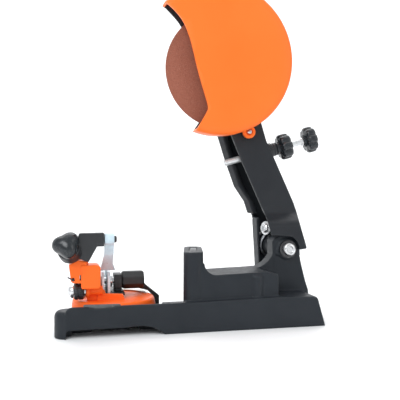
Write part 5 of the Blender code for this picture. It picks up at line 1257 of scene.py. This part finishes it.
# ================================================================ studio
SCN.view_settings.view_transform = 'Standard'
SCN.view_settings.look = 'None'
world = bpy.data.worlds.new("studio")
SCN.world = world
world.use_nodes = True
wn_ = world.node_tree.nodes
wn_.clear()
w_out = wn_.new("ShaderNodeOutputWorld")
w_bg = wn_.new("ShaderNodeBackground")
w_bg.inputs[0].default_value = (0.97, 0.985, 1.0, 1)
w_bg.inputs[1].default_value = 0.66
world.node_tree.links.new(w_bg.outputs[0], w_out.inputs[0])


def sheet_floor():
    """Pale table top rising into a backdrop in one soft curve."""
    prof_f = [(-6.0, 0.0), (0.9, 0.0)]
    prof_f += [(0.9 + 0.8 * math.sin(math.radians(t)), 0.8 - 0.8 * math.cos(math.radians(t))) for t in range(6, 91, 6)]
    prof_f += [(1.7, 5.0)]
    bm = bmesh.new()
    rows = [[bm.verts.new((x, y, z)) for y, z in prof_f] for x in (-6.0, 6.0)]
    for i in range(len(prof_f) - 1):
        bm.faces.new((rows[0][i], rows[1][i], rows[1][i + 1], rows[0][i + 1]))
    me = bpy.data.meshes.new("backdrop")
    bm.to_mesh(me)
    bm.free()
    me.shade_smooth()
    ob = bpy.data.objects.new("backdrop", me)
    COL.objects.link(ob)
    m = Mat("backdrop_paint")
    n = m.noise(3.0, 2, 0.5)
    grain = m.noise(900, 2, 0.5)
    col = m.mix(n, (0.965, 0.97, 0.975), (0.98, 0.985, 0.99))
    me.materials.append(m.done(col, m.remap(grain, 0.3, 0.7, 0.5, 0.6), m.bump(grain, 0.00001, 0.3)))
    return ob


def area(name, loc, target, sx, sy, watts, color):
    li = bpy.data.lights.new(name, 'AREA')
    li.shape = 'RECTANGLE'
    li.size, li.size_y = sx, sy
    li.energy = watts
    li.color = color
    ob = bpy.data.objects.new(name, li)
    COL.objects.link(ob)
    ob.location = loc
    ob.rotation_euler = (Vector(target) - Vector(loc)).to_track_quat('-Z', 'Y').to_euler()
    return ob


floor = sheet_floor()
key = area("key", (-0.75, -0.95, 0.95), (0.0, 0.0, 0.12), 0.9, 0.7, 11.0, (0.95, 0.98, 1.0))
fill = area("fill", (0.95, -0.75, 0.55), (0.0, 0.0, 0.10), 0.7, 0.9, 2.5, (1.0, 0.985, 0.97))
top = area("top", (0.0, 0.25, 1.6), (0.0, 0.25, 0.0), 1.6, 1.2, 5.0, (1.0, 1.0, 1.0))
back = area("back", (0.0, 1.0, 2.2), (0.0, 1.9, 0.8), 3.0, 0.8, 30.0, (1.0, 1.0, 1.0))
